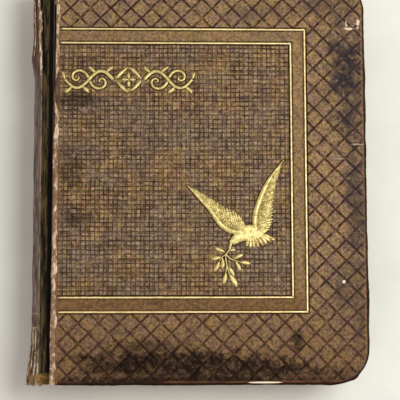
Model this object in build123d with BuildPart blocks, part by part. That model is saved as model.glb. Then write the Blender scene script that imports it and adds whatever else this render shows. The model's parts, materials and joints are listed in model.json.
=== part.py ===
from build123d import *

import os
from math import asin, degrees, sqrt

# A cloth-bound quarto Bible that lies closed on its back cover.
# +X runs from the spine to the fore-edge, +Y from the tail to the head, and +Z up from the table.
# The origin is the middle of the book's footprint, at the outer face of the back cover.

os.makedirs("parts", exist_ok=True)

# ---- Covers (mm) ----
board_width = 180.0  # joint edge to fore-edge, cloth included
board_height = 238.0  # tail to head, cloth included
board_thickness = 3.0
corner_radius = 20.0  # fore-edge corners, cloth included
cloth_thickness = 0.5
turn_in_width = 14.0
pastedown_thickness = 0.25
pastedown_margin = 3.0  # turned-in cloth that shows round the pastedown
flange_width = 25.0  # mull glued to each board beside the joint

# ---- Text block (mm) ----
block_thickness = 39.5
square = 4.0  # how far the boards stand past the pages
section_count = 22
leaf_group_count = 6
leaf_group_thickness = 0.68
endleaf_thickness = 0.25
opening_section_count = 3
back_corner_share = 0.4  # fold rounding as a share of a section's thickness

# ---- Spine (mm) ----
joint_gap = 3.0  # groove between a board and the spine
spine_projection = 14.6  # spine's outermost point, past the boards' joint edges
spine_card_thickness = 0.8
hollow_gap = 2.8
lining_thickness = 0.3
mull_thickness = 0.3
tape_thickness = 0.4
tape_width = 14.0
tape_spacing = 58.0
kettle_width = 1.2
kettle_inset = 12.0
band_radius = 1.1
band_tab = 7.0
band_overlap = 0.1  # bead sewn into its tab
shoulder_drop = 0.55  # spine cloth's long edges, inside the boards' inner faces
facet_drop = 2.25  # where the flat shoulder of the spine cloth meets its round
card_drop = 3.2  # long edges of the spine card and linings
fold_setback = 1.0  # outermost folds, inside the joint axis

# ---- Clearances (mm) ----
hinge_clearance = 0.4  # moving cover pieces from the joint axis
leaf_offset = 2.0  # moving leaves from the joint axis
stub_clearance = 0.3  # folded stubs from the moving leaves
layer_gap = 0.3  # pieces that lie side by side in one layer

# ---- Gilding on the front cover (mm) ----
gilt_thickness = 0.15
rule_width = 1.0
rule_spacing = 8.3
rule_from_fore_edge = 35.5
rule_from_tail = 41.5
rule_from_head = 31.5
rule_joint_inset = 1.0
dove_from_side_rule = 26.0  # middle of the dove's body, from the inner rule at the fore-edge
dove_from_tail_rule = 36.5  # and from the inner rule at the tail
scroll_width = 76.0
scroll_from_joint = 3.0
scroll_line = 1.6
scroll_from_head_rule = 22.0  # middle of the scroll, from the inner rule at the head
spine_rule_from_tail = 41.0
spine_rule_spacing = 8.3

# ---- Derived sizes ----
cover_thickness = 2 * cloth_thickness + board_thickness + pastedown_thickness
total_thickness = 2 * cover_thickness + block_thickness
total_width = board_width + spine_projection
mid_z = total_thickness / 2
fore_edge_x = total_width / 2
joint_x = fore_edge_x - board_width
hinge_x = joint_x - joint_gap / 2
spine_x = -total_width / 2
shoulder_x = joint_x - joint_gap
page_height = board_height - 2 * square
page_corner_radius = corner_radius - square

# Circle through the sections' folds, seen from the tail.
half_block = block_thickness / 2
spine_layers = cloth_thickness + spine_card_thickness + hollow_gap
back_layers = lining_thickness + mull_thickness + tape_thickness
fold_mid_x = spine_x + spine_layers + back_layers
fold_end_x = hinge_x + fold_setback
fold_round = fold_end_x - fold_mid_x
fold_radius = (half_block**2 + fold_round**2) / (2 * fold_round)
fold_centre_x = fold_mid_x + fold_radius
page_width = fore_edge_x - square - fold_end_x

# The block's layers, from the back cover up.
block_bottom = cover_thickness
block_top = cover_thickness + block_thickness
opening_thickness = endleaf_thickness + leaf_group_count * leaf_group_thickness
opening_top = block_top - endleaf_thickness
opening_bottom = opening_top - opening_thickness
sections_bottom = block_bottom + endleaf_thickness
section_thickness = (opening_bottom - sections_bottom) / section_count


def save(part, name):
    """Labels a finished piece and writes its STEP file."""
    part.label = name
    export_step(part, f"parts/{name}.step")


def fold_x(z):
    """Where the folds stand at a height, on the rounded back."""
    return fold_centre_x - sqrt(fold_radius**2 - (z - mid_z) ** 2)


# ---- Covers ----
def board_outline(inset):
    """A board's outline, drawn in by inset on its three free sides."""
    width = board_width - inset
    with Locations((joint_x + width / 2, 0)):
        Rectangle(width, board_height - 2 * inset)
    fillet(vertices().group_by(Axis.X)[-1], max(corner_radius - inset, 1.0))


def cover_plane(front, depth):
    """The plane at a depth inside a cover, facing in from its outer face."""
    height = total_thickness - depth if front else depth
    return Plane.XY.offset(height)


def inward(front, amount):
    """An extrusion distance that goes in from a cover's outer face."""
    return -amount if front else amount


def strip(left, right, height):
    """A plain rectangle between two distances across the board, added to the sketch in hand."""
    with Locations(((left + right) / 2, 0)):
        Rectangle(right - left, height)


def make_cover(front):
    """The board of one cover with everything glued to it, apart from the gilding."""
    side = "front" if front else "back"
    turn_in_depth = cloth_thickness + board_thickness
    pastedown_depth = turn_in_depth + cloth_thickness
    layer_left = hinge_x + hinge_clearance
    flange_right = joint_x + flange_width
    layer_right = fore_edge_x - turn_in_width - layer_gap
    layer_height = board_height - 2 * (turn_in_width + layer_gap)

    with BuildPart() as board:
        with BuildSketch(cover_plane(front, cloth_thickness)):
            board_outline(cloth_thickness)
        extrude(amount=inward(front, board_thickness))
    save(board.part, f"{side}_board")

    # The front joint has torn. The back one is whole: its cloth goes down the board's edge and
    # into the groove.
    edge_cloth = 0.0 if front else cloth_thickness
    edge_left = joint_x - edge_cloth
    with BuildPart() as cloth:
        with BuildSketch(cover_plane(front, 0)):
            board_outline(0)
            if not front:
                strip(edge_left, joint_x, board_height)
        extrude(amount=inward(front, pastedown_depth))
        with BuildSketch(cover_plane(front, cloth_thickness)):
            board_outline(cloth_thickness)
        extrude(amount=inward(front, board_thickness), mode=Mode.SUBTRACT)
        with BuildSketch(cover_plane(front, turn_in_depth)):
            board_outline(turn_in_width)
            if not front:
                strip(edge_left, joint_x, board_height - 2 * turn_in_width)
        extrude(amount=inward(front, cloth_thickness), mode=Mode.SUBTRACT)
        if not front:
            with BuildSketch(cover_plane(front, board_thickness)):
                strip(layer_left, edge_left, board_height)
            extrude(amount=inward(front, cloth_thickness))
    save(cloth.part, f"{side}_cover_cloth")

    with BuildPart() as flange:
        with BuildSketch(cover_plane(front, turn_in_depth)):
            strip(layer_left, flange_right, layer_height)
        extrude(amount=inward(front, cloth_thickness))
    save(flange.part, f"{side}_mull_flange")

    infill_left = flange_right + layer_gap
    with BuildPart() as infill:
        with BuildSketch(cover_plane(front, turn_in_depth)):
            strip(infill_left, layer_right, layer_height)
            fillet(vertices().group_by(Axis.X)[-1], max(corner_radius - turn_in_width, 1.0))
        extrude(amount=inward(front, cloth_thickness))
    save(infill.part, f"{side}_board_infill")

    pastedown_right = fore_edge_x - pastedown_margin
    with BuildPart() as pastedown:
        with BuildSketch(cover_plane(front, pastedown_depth)):
            strip(layer_left, pastedown_right, board_height - 2 * pastedown_margin)
            fillet(vertices().group_by(Axis.X)[-1], corner_radius - pastedown_margin)
        extrude(amount=inward(front, pastedown_thickness))
    save(pastedown.part, f"{side}_pastedown")


make_cover(front=True)
make_cover(front=False)


# ---- Text block ----
def page_outline(left, right):
    """A leaf's outline, with the fore-edge corners rounded like the boards'."""
    with Locations(((left + right) / 2, 0)):
        Rectangle(right - left, page_height)
    fillet(vertices().group_by(Axis.X)[-1], page_corner_radius)


def make_section(name, bottom, top):
    """A folded section whose fold and fore-edge both follow the rounded back."""
    with BuildPart() as section:
        for height in (bottom, top):
            with BuildSketch(Plane.XY.offset(height)):
                page_outline(fold_x(height), fold_x(height) + page_width)
        loft(ruled=True)
        folds = section.edges().filter_by(Axis.Y).group_by(Axis.X)[:2]
        fillet([fold[0] for fold in folds], back_corner_share * (top - bottom))
    save(section.part, name)


for number in range(section_count):
    section_bottom = sections_bottom + number * section_thickness
    make_section(f"section_{number + 1:02d}", section_bottom, section_bottom + section_thickness)


def make_leaf(name, bottom, top, left):
    """A leaf, or a few leaves that turn together."""
    middle = (bottom + top) / 2
    with BuildPart() as leaf:
        with BuildSketch(Plane.XY.offset(bottom)):
            page_outline(left, fold_x(middle) + page_width)
        extrude(amount=top - bottom)
    save(leaf.part, name)


moving_left = hinge_x + leaf_offset
for number in range(leaf_group_count):
    group_bottom = opening_bottom + number * leaf_group_thickness
    group_name = f"leaf_group_{leaf_group_count - number}"
    make_leaf(group_name, group_bottom, group_bottom + leaf_group_thickness, moving_left)
make_leaf("title_leaf", opening_top - endleaf_thickness, opening_top, moving_left)
make_leaf("front_flyleaf", opening_top, block_top, moving_left)
make_leaf("back_flyleaf", block_bottom, sections_bottom, fold_x(block_bottom))

# The folds of the sections that hold the turning leaves stay with the sewing.
stub_right = moving_left - stub_clearance
stub_thickness = opening_thickness / opening_section_count
with BuildPart() as opening_folds:
    for number in range(opening_section_count):
        stub_bottom = opening_bottom + number * stub_thickness
        stub_top = stub_bottom + stub_thickness
        with BuildSketch(Plane.XZ.offset(-page_height / 2)):
            with BuildLine():
                Polyline(
                    (fold_x(stub_bottom), stub_bottom),
                    (stub_right, stub_bottom),
                    (stub_right, stub_top),
                    (fold_x(stub_top), stub_top),
                    close=True,
                )
            make_face()
        extrude(amount=page_height)
save(opening_folds.part, "opening_folds")


# ---- Spine ----
def half_angle(radius, drop):
    """Half the angle of a layer on the rounded back whose long edges stop drop short of the block."""
    return degrees(asin((half_block - drop) / radius))


def back_layer(inner, thickness, drop, y_centre, width):
    """A thin layer wrapped round the rounded back, from one long edge to the other."""
    outer = inner + thickness
    reach = half_angle(outer, drop)
    with BuildSketch(Plane.XZ.offset(-(y_centre + width / 2))) as profile:
        with BuildLine():
            outside = CenterArc((fold_centre_x, mid_z), outer, 180 - reach, 2 * reach)
            inside = CenterArc((fold_centre_x, mid_z), inner, 180 - reach, 2 * reach)
            Line(outside @ 0, inside @ 0)
            Line(outside @ 1, inside @ 1)
        make_face()
    extrude(profile.sketch, amount=width)


mull_radius = fold_radius + tape_thickness
lining_radius = mull_radius + mull_thickness
card_radius = lining_radius + lining_thickness + hollow_gap
cloth_radius = card_radius + spine_card_thickness

with BuildPart() as sewing_tapes:
    for place in (-tape_spacing, 0, tape_spacing):
        back_layer(fold_radius, tape_thickness, card_drop, place, tape_width)
save(sewing_tapes.part, "sewing_tapes")

with BuildPart() as kettle_stitches:
    kettle_y = page_height / 2 - kettle_inset
    for end in (-1, 1):
        back_layer(fold_radius, tape_thickness, card_drop, end * kettle_y, kettle_width)
save(kettle_stitches.part, "kettle_stitches")

with BuildPart() as mull:
    back_layer(mull_radius, mull_thickness, card_drop, 0, page_height - 2 * band_tab)
save(mull.part, "spine_mull")

with BuildPart() as lining:
    back_layer(lining_radius, lining_thickness, card_drop, 0, page_height - band_tab)
save(lining.part, "spine_lining")

with BuildPart() as spine_card:
    back_layer(card_radius, spine_card_thickness, card_drop, 0, board_height - 2 * cloth_thickness)
save(spine_card.part, "spine_card")

# The spine cloth is round over the card, with a flat shoulder down to each joint.
cloth_outer_radius = cloth_radius + cloth_thickness
shoulder_height = half_block - shoulder_drop
facet_angle = half_angle(cloth_outer_radius, facet_drop)
with BuildPart() as spine_cloth:
    with BuildSketch(Plane.XZ.offset(-board_height / 2)):
        with BuildLine():
            centre = (fold_centre_x, mid_z)
            outside = CenterArc(centre, cloth_outer_radius, 180 - facet_angle, 2 * facet_angle)
            inside = CenterArc(centre, cloth_radius, 180 - facet_angle, 2 * facet_angle)
            for end, side in ((0, 1), (1, -1)):
                Polyline(
                    outside @ end,
                    (shoulder_x, mid_z + side * shoulder_height),
                    (shoulder_x, mid_z + side * (shoulder_height - cloth_thickness)),
                    inside @ end,
                )
        make_face()
    extrude(amount=board_height)
save(spine_cloth.part, "spine_cloth")


def make_band(name, side):
    """A sewn band: a bead on the pages' edges at the rounded back, with its tab glued down the folds."""
    reach = half_angle(fold_radius, card_drop)
    bead_y = side * (page_height / 2 + band_radius + band_overlap)
    tab_y = side * (page_height / 2 + band_radius - band_tab / 2)
    with BuildPart() as band:
        with BuildLine(Plane.XZ.offset(-bead_y)) as bead_path:
            CenterArc((fold_centre_x, mid_z), fold_radius - band_radius, 180 - reach, 2 * reach)
        with BuildSketch(Plane(origin=bead_path.line @ 0, z_dir=bead_path.line % 0)):
            Circle(band_radius + band_overlap)
        sweep(path=bead_path.line)
        back_layer(fold_radius, tape_thickness, card_drop, tab_y, band_tab)
    save(band.part, name)


make_band("headband", 1)
make_band("tailband", -1)


# ---- Gilding ----
def rule_outline(offset):
    """A rule's centre line inside the cover: it runs round three sides and stops at the joint."""
    left = joint_x + rule_joint_inset
    right = fore_edge_x - rule_from_fore_edge - offset
    tail = -board_height / 2 + rule_from_tail + offset
    head = board_height / 2 - rule_from_head - offset
    outer = ((left + right + rule_width / 2) / 2, (head + tail) / 2)
    with Locations(outer):
        Rectangle(right + rule_width / 2 - left, head - tail + rule_width)
    inner = ((left + right - rule_width / 2) / 2, (head + tail) / 2)
    with Locations(inner):
        Rectangle(right - rule_width / 2 - left, head - tail - rule_width, mode=Mode.SUBTRACT)


gilt_plane = Plane.XY.offset(total_thickness)
dove_x = fore_edge_x - rule_from_fore_edge - rule_spacing - dove_from_side_rule
dove_y = -board_height / 2 + rule_from_tail + rule_spacing + dove_from_tail_rule
scroll_x = joint_x + scroll_from_joint + scroll_width / 2
scroll_y = board_height / 2 - rule_from_head - rule_spacing - scroll_from_head_rule

for name, offset in (("gilt_outer_rule", 0), ("gilt_inner_rule", rule_spacing)):
    with BuildPart() as rule:
        with BuildSketch(gilt_plane):
            rule_outline(offset)
        extrude(amount=gilt_thickness)
    save(rule.part, name)

# The dove flies down to the left with raised wings. Its points count from the middle of its body.
far_wing = [
    (-8.0, -0.5), (-12.5, 1.5), (-16.2, 5.0), (-21.2, 12.7), (-28.0, 20.4), (-35.0, 28.4), (-28.6, 26.2),
    (-28.2, 24.4), (-23.0, 22.2), (-22.6, 20.6), (-18.0, 18.8), (-17.4, 16.8), (-13.4, 14.6), (-8.6, 14.0),
    (-8.4, 12.2), (-4.4, 10.4), (-4.2, 8.4), (-0.8, 5.4), (0.0, 1.0),
]
near_wing = [
    (4.0, 1.5), (3.2, 8.0), (3.6, 13.0), (5.6, 19.2), (9.4, 27.8), (14.4, 34.6), (20.6, 41.0),
    (18.6, 33.6), (17.0, 33.2), (17.2, 27.4), (15.6, 26.8), (16.0, 21.0), (14.4, 19.6), (15.2, 13.8),
    (13.8, 12.4), (14.2, 7.4), (12.2, 6.2), (11.4, 2.4), (9.0, 0.5),
]
body = [
    (-0.9, 5.4), (-4.2, 3.6), (-8.2, -0.6), (-10.6, -3.8), (-10.3, -8.6), (-8.6, -6.6), (-4.4, -4.9),
    (-1.9, -3.7), (-1.2, -6.2), (0.6, -8.3), (2.4, -7.2), (3.7, -8.1), (5.0, -6.9), (6.6, -7.6),
    (7.6, -6.2), (9.4, -6.6), (10.2, -5.2), (12.4, -5.4), (12.8, -4.0), (16.5, -3.7), (10.0, 0.2), (5.4, 4.2),
]
with BuildPart() as dove:
    with BuildSketch(Plane((dove_x, dove_y, total_thickness))):
        for outline in (far_wing, near_wing, body):
            with BuildLine():
                Polyline(*outline, close=True)
            make_face()
    extrude(amount=gilt_thickness)
save(dove.part, "gilt_dove")

# The olive sprig hangs from the beak: its stem and side shoots, then each leaf by its base and tip.
sprig_stems = [
    [(-10.6, -9.4), (-12.6, -12.0), (-12.2, -16.0), (-11.8, -22.0)],
    [(-12.6, -11.8), (-9.0, -14.4), (-4.4, -16.1)],
    [(-12.6, -11.6), (-14.2, -12.4), (-16.2, -15.6)],
]
sprig_leaves = [
    ((-12.8, -9.8), (-18.8, -7.8)), ((-15.2, -13.0), (-21.2, -14.2)), ((-16.2, -15.6), (-19.0, -21.6)),
    ((-14.6, -13.6), (-14.4, -20.1)), ((-11.6, -10.4), (-7.2, -9.8)), ((-8.6, -14.6), (-2.5, -11.8)),
    ((-4.8, -16.0), (1.6, -17.0)), ((-7.0, -15.2), (-4.1, -21.3)), ((-11.8, -18.8), (-7.8, -23.8)),
    ((-11.9, -21.0), (-13.7, -28.6)), ((-11.9, -21.4), (-6.2, -30.2)),
]
leaf_plumpness = 0.17
stem_width = 0.7
with BuildPart() as sprig:
    with BuildSketch(Plane((dove_x, dove_y, total_thickness))):
        for stem in sprig_stems:
            with BuildLine():
                Spline(*stem)
            trace(line_width=stem_width)
        for base, tip in sprig_leaves:
            along = Vector(*tip) - Vector(*base)
            middle = (Vector(*tip) + Vector(*base)) / 2
            bulge = along.rotate(Axis.Z, 90) * leaf_plumpness
            with BuildLine():
                ThreePointArc(base, middle + bulge, tip)
                ThreePointArc(tip, middle - bulge, base)
            make_face()
    extrude(amount=gilt_thickness)
save(sprig.part, "gilt_olive_sprig")

# A plain scroll stands above the dove: two facing waves with a lozenge between them.
scroll_height = 20.0
wave = scroll_width / 4
with BuildPart() as scroll:
    with BuildSketch(Plane((scroll_x, scroll_y, total_thickness))):
        Rectangle(scroll_height / 2, scroll_height / 2, rotation=45)
        for side in (-1, 1):
            with BuildLine():
                crossing = (side * wave * 3 / 2, 0)
                ThreePointArc((side * wave / 2, 0), (side * wave, scroll_height / 3), crossing)
                ThreePointArc(crossing, (side * wave * 7 / 4, -scroll_height / 4), (side * wave * 2, 0))
            trace(line_width=scroll_line)
    extrude(amount=gilt_thickness)
save(scroll.part, "gilt_scroll")

# Two rules cross the round of the spine near its tail.
with BuildPart() as spine_rules:
    for step in (0, 1):
        place = -board_height / 2 + spine_rule_from_tail - step * spine_rule_spacing
        back_layer(cloth_outer_radius, gilt_thickness, 2 * card_drop, place, rule_width)
save(spine_rules.part, "spine_gilt_rules")
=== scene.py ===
import json
from math import cos, pi, radians, sin, sqrt

import bmesh
import bpy
import numpy as np
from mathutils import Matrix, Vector


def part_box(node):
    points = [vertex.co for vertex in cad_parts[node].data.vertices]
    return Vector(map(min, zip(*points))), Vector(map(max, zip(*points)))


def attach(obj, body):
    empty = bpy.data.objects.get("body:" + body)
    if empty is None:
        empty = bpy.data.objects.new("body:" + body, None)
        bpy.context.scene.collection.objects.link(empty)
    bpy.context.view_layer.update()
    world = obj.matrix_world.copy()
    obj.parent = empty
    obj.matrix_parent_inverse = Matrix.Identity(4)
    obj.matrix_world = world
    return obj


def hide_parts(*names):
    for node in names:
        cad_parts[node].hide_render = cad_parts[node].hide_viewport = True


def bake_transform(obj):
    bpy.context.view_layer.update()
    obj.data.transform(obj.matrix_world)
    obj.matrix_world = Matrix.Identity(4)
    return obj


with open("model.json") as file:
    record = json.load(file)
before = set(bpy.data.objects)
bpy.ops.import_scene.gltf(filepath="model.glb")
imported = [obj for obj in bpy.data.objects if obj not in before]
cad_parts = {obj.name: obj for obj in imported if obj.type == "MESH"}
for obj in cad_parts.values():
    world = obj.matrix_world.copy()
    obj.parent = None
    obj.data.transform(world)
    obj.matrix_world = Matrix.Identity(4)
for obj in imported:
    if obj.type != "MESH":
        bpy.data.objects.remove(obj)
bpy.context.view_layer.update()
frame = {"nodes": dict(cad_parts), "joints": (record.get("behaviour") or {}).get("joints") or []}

# The Bible's looks. Lengths are in millimetres up to make_mesh, which turns them into metres.
# +X runs from the spine to the fore-edge, +Y from the tail to the head, and +Z up.
MM = 0.001


# ---- Sizes from the frame (mm) ----
def box(node):
    """A CAD node's lowest and highest corners in millimetres."""
    low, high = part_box(node)
    return np.array(low) / MM, np.array(high) / MM


(JOINT_X, _, _), (FORE_X, HALF_HEIGHT, TOP_Z) = box("front_cover_cloth")
MID_Z = TOP_Z / 2
COVER_DEPTH = TOP_Z - box("front_pastedown")[1][2]
PAGE_HALF = box("front_flyleaf")[1][1]
(SPINE_X, _, _), (SHOULDER_X, _, SHOULDER_TOP) = box("spine_cloth")
dove_low, _ = box("gilt_dove")
scroll_low, scroll_high = box("gilt_scroll")
BOARD_RADIUS = 20.0
CLOTH = 0.5
TURN_IN = 14.0
HINGE_X = frame["joints"][0]["pos_m"][0] / MM
FRONT_AXIS_Z = frame["joints"][0]["pos_m"][2] / MM
BACK_AXIS_Z = frame["joints"][1]["pos_m"][2] / MM
RULE_WIDTH = 1.0


def rule_lines(node):
    """A gold rule's middle lines: x along the fore-edge, y along the tail and y along the head."""
    low, high = box(node)
    return high[0] - RULE_WIDTH / 2, low[1] + RULE_WIDTH / 2, high[1] - RULE_WIDTH / 2


RULE_X, RULE_TAIL, RULE_HEAD = rule_lines("gilt_outer_rule")
INNER_X, INNER_TAIL, INNER_HEAD = rule_lines("gilt_inner_rule")
LATTICE_PITCH = 11.85
LATTICE_SUM = 1.0  # phases of the two sets of diagonal lines
LATTICE_DIFFERENCE = 2.3
LATTICE_MARGIN = 2.4  # the plain edge around the lattice
GRID_PITCH = 2.62
TEAR_REACH = 9.0  # how far in from the joint the torn edge still bends the weave
RIM_WIDTH = 0.7  # the dark rim around the gold, painted shade of its impression
RIM_BASE = TOP_Z - 0.34
RIM_HEIGHT = 0.42
GILT_BASE = TOP_Z - 0.22
GILT_HEIGHT = 0.30


# ---- Noise and curves ----
def noise(x, y, cell, seed):
    """Smooth value noise from -1 to 1 with a cell size in millimetres."""
    table = np.random.default_rng(seed).uniform(-1, 1, (61, 59))
    u, v = np.broadcast_arrays(np.asarray(x, float) / cell, np.asarray(y, float) / cell)
    i, j = np.floor(u).astype(int), np.floor(v).astype(int)
    a, b = u - i, v - j
    a, b = a * a * (3 - 2 * a), b * b * (3 - 2 * b)
    near = table[i % 61, j % 59] * (1 - a) + table[(i + 1) % 61, j % 59] * a
    far = table[i % 61, (j + 1) % 59] * (1 - a) + table[(i + 1) % 61, (j + 1) % 59] * a
    return near * (1 - b) + far * b


def line_distance(value, pitch):
    """Distance to the nearest multiple of pitch."""
    return np.abs((value + pitch / 2) % pitch - pitch / 2)


def smooth_step(value, low, high):
    t = np.clip((value - low) / (high - low), 0, 1)
    return t * t * (3 - 2 * t)


def spline(points, count):
    """A smooth line through given points, as count points evenly spread (Catmull-Rom)."""
    p = np.array(points, float)
    p = np.vstack([2 * p[0] - p[1], p, 2 * p[-1] - p[-2]])
    spans = len(p) - 3
    result = []
    for s in np.linspace(0, spans, count):
        i = min(int(s), spans - 1)
        t = s - i
        a, b, c, d = p[i:i + 4]
        result.append(0.5 * (2 * b + (c - a) * t + (2 * a - 5 * b + 4 * c - d) * t**2
                             + (3 * b - a - 3 * c + d) * t**3))
    return np.array(result)


# ---- Meshes ----
def make_mesh(name, points, faces, materials, body, slot, replaces=(), face_materials=None, smooth=True):
    """A piece from points in millimetres, with its faces outward, riding on a body unless that is None."""
    mesh = bpy.data.meshes.new(name)
    mesh.from_pydata((np.asarray(points, float) * MM).tolist(), [], [list(map(int, f)) for f in faces])
    mesh.validate()
    for material in materials if isinstance(materials, (list, tuple)) else [materials]:
        mesh.materials.append(material)
    if face_materials is not None:
        mesh.polygons.foreach_set("material_index", np.asarray(face_materials, np.int32))
    mesh.polygons.foreach_set("use_smooth", [smooth] * len(mesh.polygons))
    work = bmesh.new()
    work.from_mesh(mesh)
    bmesh.ops.recalc_face_normals(work, faces=work.faces)
    work.to_mesh(mesh)
    work.free()
    piece = bpy.data.objects.new(name, mesh)
    bpy.context.scene.collection.objects.link(piece)
    if body:
        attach(piece, body)
    if replaces:
        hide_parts(*replaces)
    return piece


def grid_faces(rows, columns, start=0, flip=False):
    """Quads over rows x columns of points numbered row by row."""
    index = start + np.arange(rows * columns).reshape(rows, columns)
    quads = np.stack([index[:-1, :-1], index[1:, :-1], index[1:, 1:], index[:-1, 1:]], -1).reshape(-1, 4)
    return quads[:, ::-1] if flip else quads


def sheet_faces(rows, columns):
    """Faces of a closed sheet of two layers of rows x columns points, and how many come before its rim's."""
    count = rows * columns
    faces = [*grid_faces(rows, columns), *grid_faces(rows, columns, count, True)]
    flats = len(faces)
    index = np.arange(count).reshape(rows, columns)
    rim = [*index[0], *index[1:, -1], *index[-1, -2::-1], *index[-2:0:-1, 0]]
    faces += [(a, b, b + count, a + count) for a, b in zip(rim, rim[1:] + rim[:1])]
    return faces, flats


class Pile:
    """Gathers closed shapes into one mesh. Gold shapes also get a dark rim of painted shade, kept in a pile
    of its own.
    """

    def __init__(self, rim=None):
        self.points, self.faces, self.count = [], [], 0
        self.rim = rim

    def add(self, points, faces):
        self.points.append(np.asarray(points, float))
        self.faces.extend((np.asarray(f) + self.count) for f in faces)
        self.count += len(points)

    def piece(self, name, material, body, slot, *replaces, **options):
        return make_mesh(name, np.vstack(self.points), self.faces, material, body, slot, replaces, **options)


def ring_solid(pile, rings):
    """Closed solid through rings of the same number of points, capped at both ends."""
    count = len(rings[0])
    faces = []
    for r in range(len(rings) - 1):
        for i in range(count):
            j = (i + 1) % count
            faces.append([r * count + i, r * count + j, (r + 1) * count + j, (r + 1) * count + i])
    faces.append(list(range(count))[::-1])
    faces.append([(len(rings) - 1) * count + i for i in range(count)])
    pile.add(np.vstack(rings), faces)


def ribbon(pile, path, width, base, height):
    """A low ribbon along a flat path: its width may vary, and its top is domed over base."""
    path = np.asarray(path, float)
    count = len(path)
    width = np.broadcast_to(width, count)
    if pile.rim:
        ribbon(pile.rim, path, width + 2 * RIM_WIDTH, RIM_BASE, RIM_HEIGHT)
    along = np.gradient(path, axis=0)
    along /= np.linalg.norm(along, axis=1)[:, None] + 1e-9
    across = np.stack([-along[:, 1], along[:, 0]], 1)
    rings = []
    for i in range(count):
        ring = []
        for side, rise in ((-1, 0.0), (-0.9, 0.7), (0, 1.0), (0.9, 0.7), (1, 0.0)):
            x, y = path[i] + across[i] * side * width[i] / 2
            ring.append((x, y, base + height * rise))
        rings.append(np.array(ring))
    ring_solid(pile, rings)


def blade(pile, root, tip, width, base, height, widest=0.55, bend=0.0):
    """A leaf or feather blade with a raised middle, pointed at its tip."""
    root, tip = np.array(root, float), np.array(tip, float)
    span = tip - root
    if pile.rim:
        reach = span / (np.hypot(*span) + 1e-9) * RIM_WIDTH
        blade(pile.rim, root - reach, tip + reach, width + 2 * RIM_WIDTH, RIM_BASE, RIM_HEIGHT, widest, bend)
    across = np.array([-span[1], span[0]]) / (np.hypot(*span) + 1e-9)
    rings = []
    for t in np.linspace(0, 1, 7):
        half = width / 2 * (sin(pi * min(t / widest, 1) / 2) ** 0.8 if t < widest
                            else cos(pi / 2 * ((t - widest) / (1 - widest)) ** 1.6))
        half = max(half, 0.05)
        middle = root + span * t + across * bend * sin(pi * t)
        rise = height * (0.5 + 0.5 * sin(pi * min(t * 1.3, 1)))
        rings.append(np.array([
            (*(middle - across * half), base), (*(middle - across * half * 0.5), base + rise * 0.75),
            (*middle, base + rise), (*(middle + across * half * 0.5), base + rise * 0.6),
            (*(middle + across * half), base)]))
    ring_solid(pile, rings)


def fibre(pile, start, direction, length, radius, random, sag=0.0):
    """One thin broken thread, as a curved three-sided thread that tapers."""
    direction = np.array(direction, float)
    direction /= np.linalg.norm(direction)
    side = np.cross(direction, (0, 0, 1.0))
    side /= np.linalg.norm(side) + 1e-9
    lift = np.cross(side, direction)
    curl = random.uniform(-0.5, 0.5, 2)
    rings = []
    for t in (0, 0.35, 0.7, 1.0):
        middle = start + direction * length * t + (side * curl[0] + lift * curl[1]) * length * t * t
        middle = middle - np.array([0, 0, sag * length * t * t])
        size = radius * (1 - 0.75 * t)
        rings.append(np.array([middle + size * (side * cos(a) + lift * sin(a)) for a in (0.5, 2.6, 4.7)]))
    ring_solid(pile, rings)


# ---- Materials ----
def srgb(colour):
    """A display colour, 0 to 255, as Blender's linear colour."""
    v = np.array(colour, float) / 255
    return tuple(np.where(v <= 0.04045, v / 12.92, ((v + 0.055) / 1.055) ** 2.4)) + (1.0,)


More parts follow.
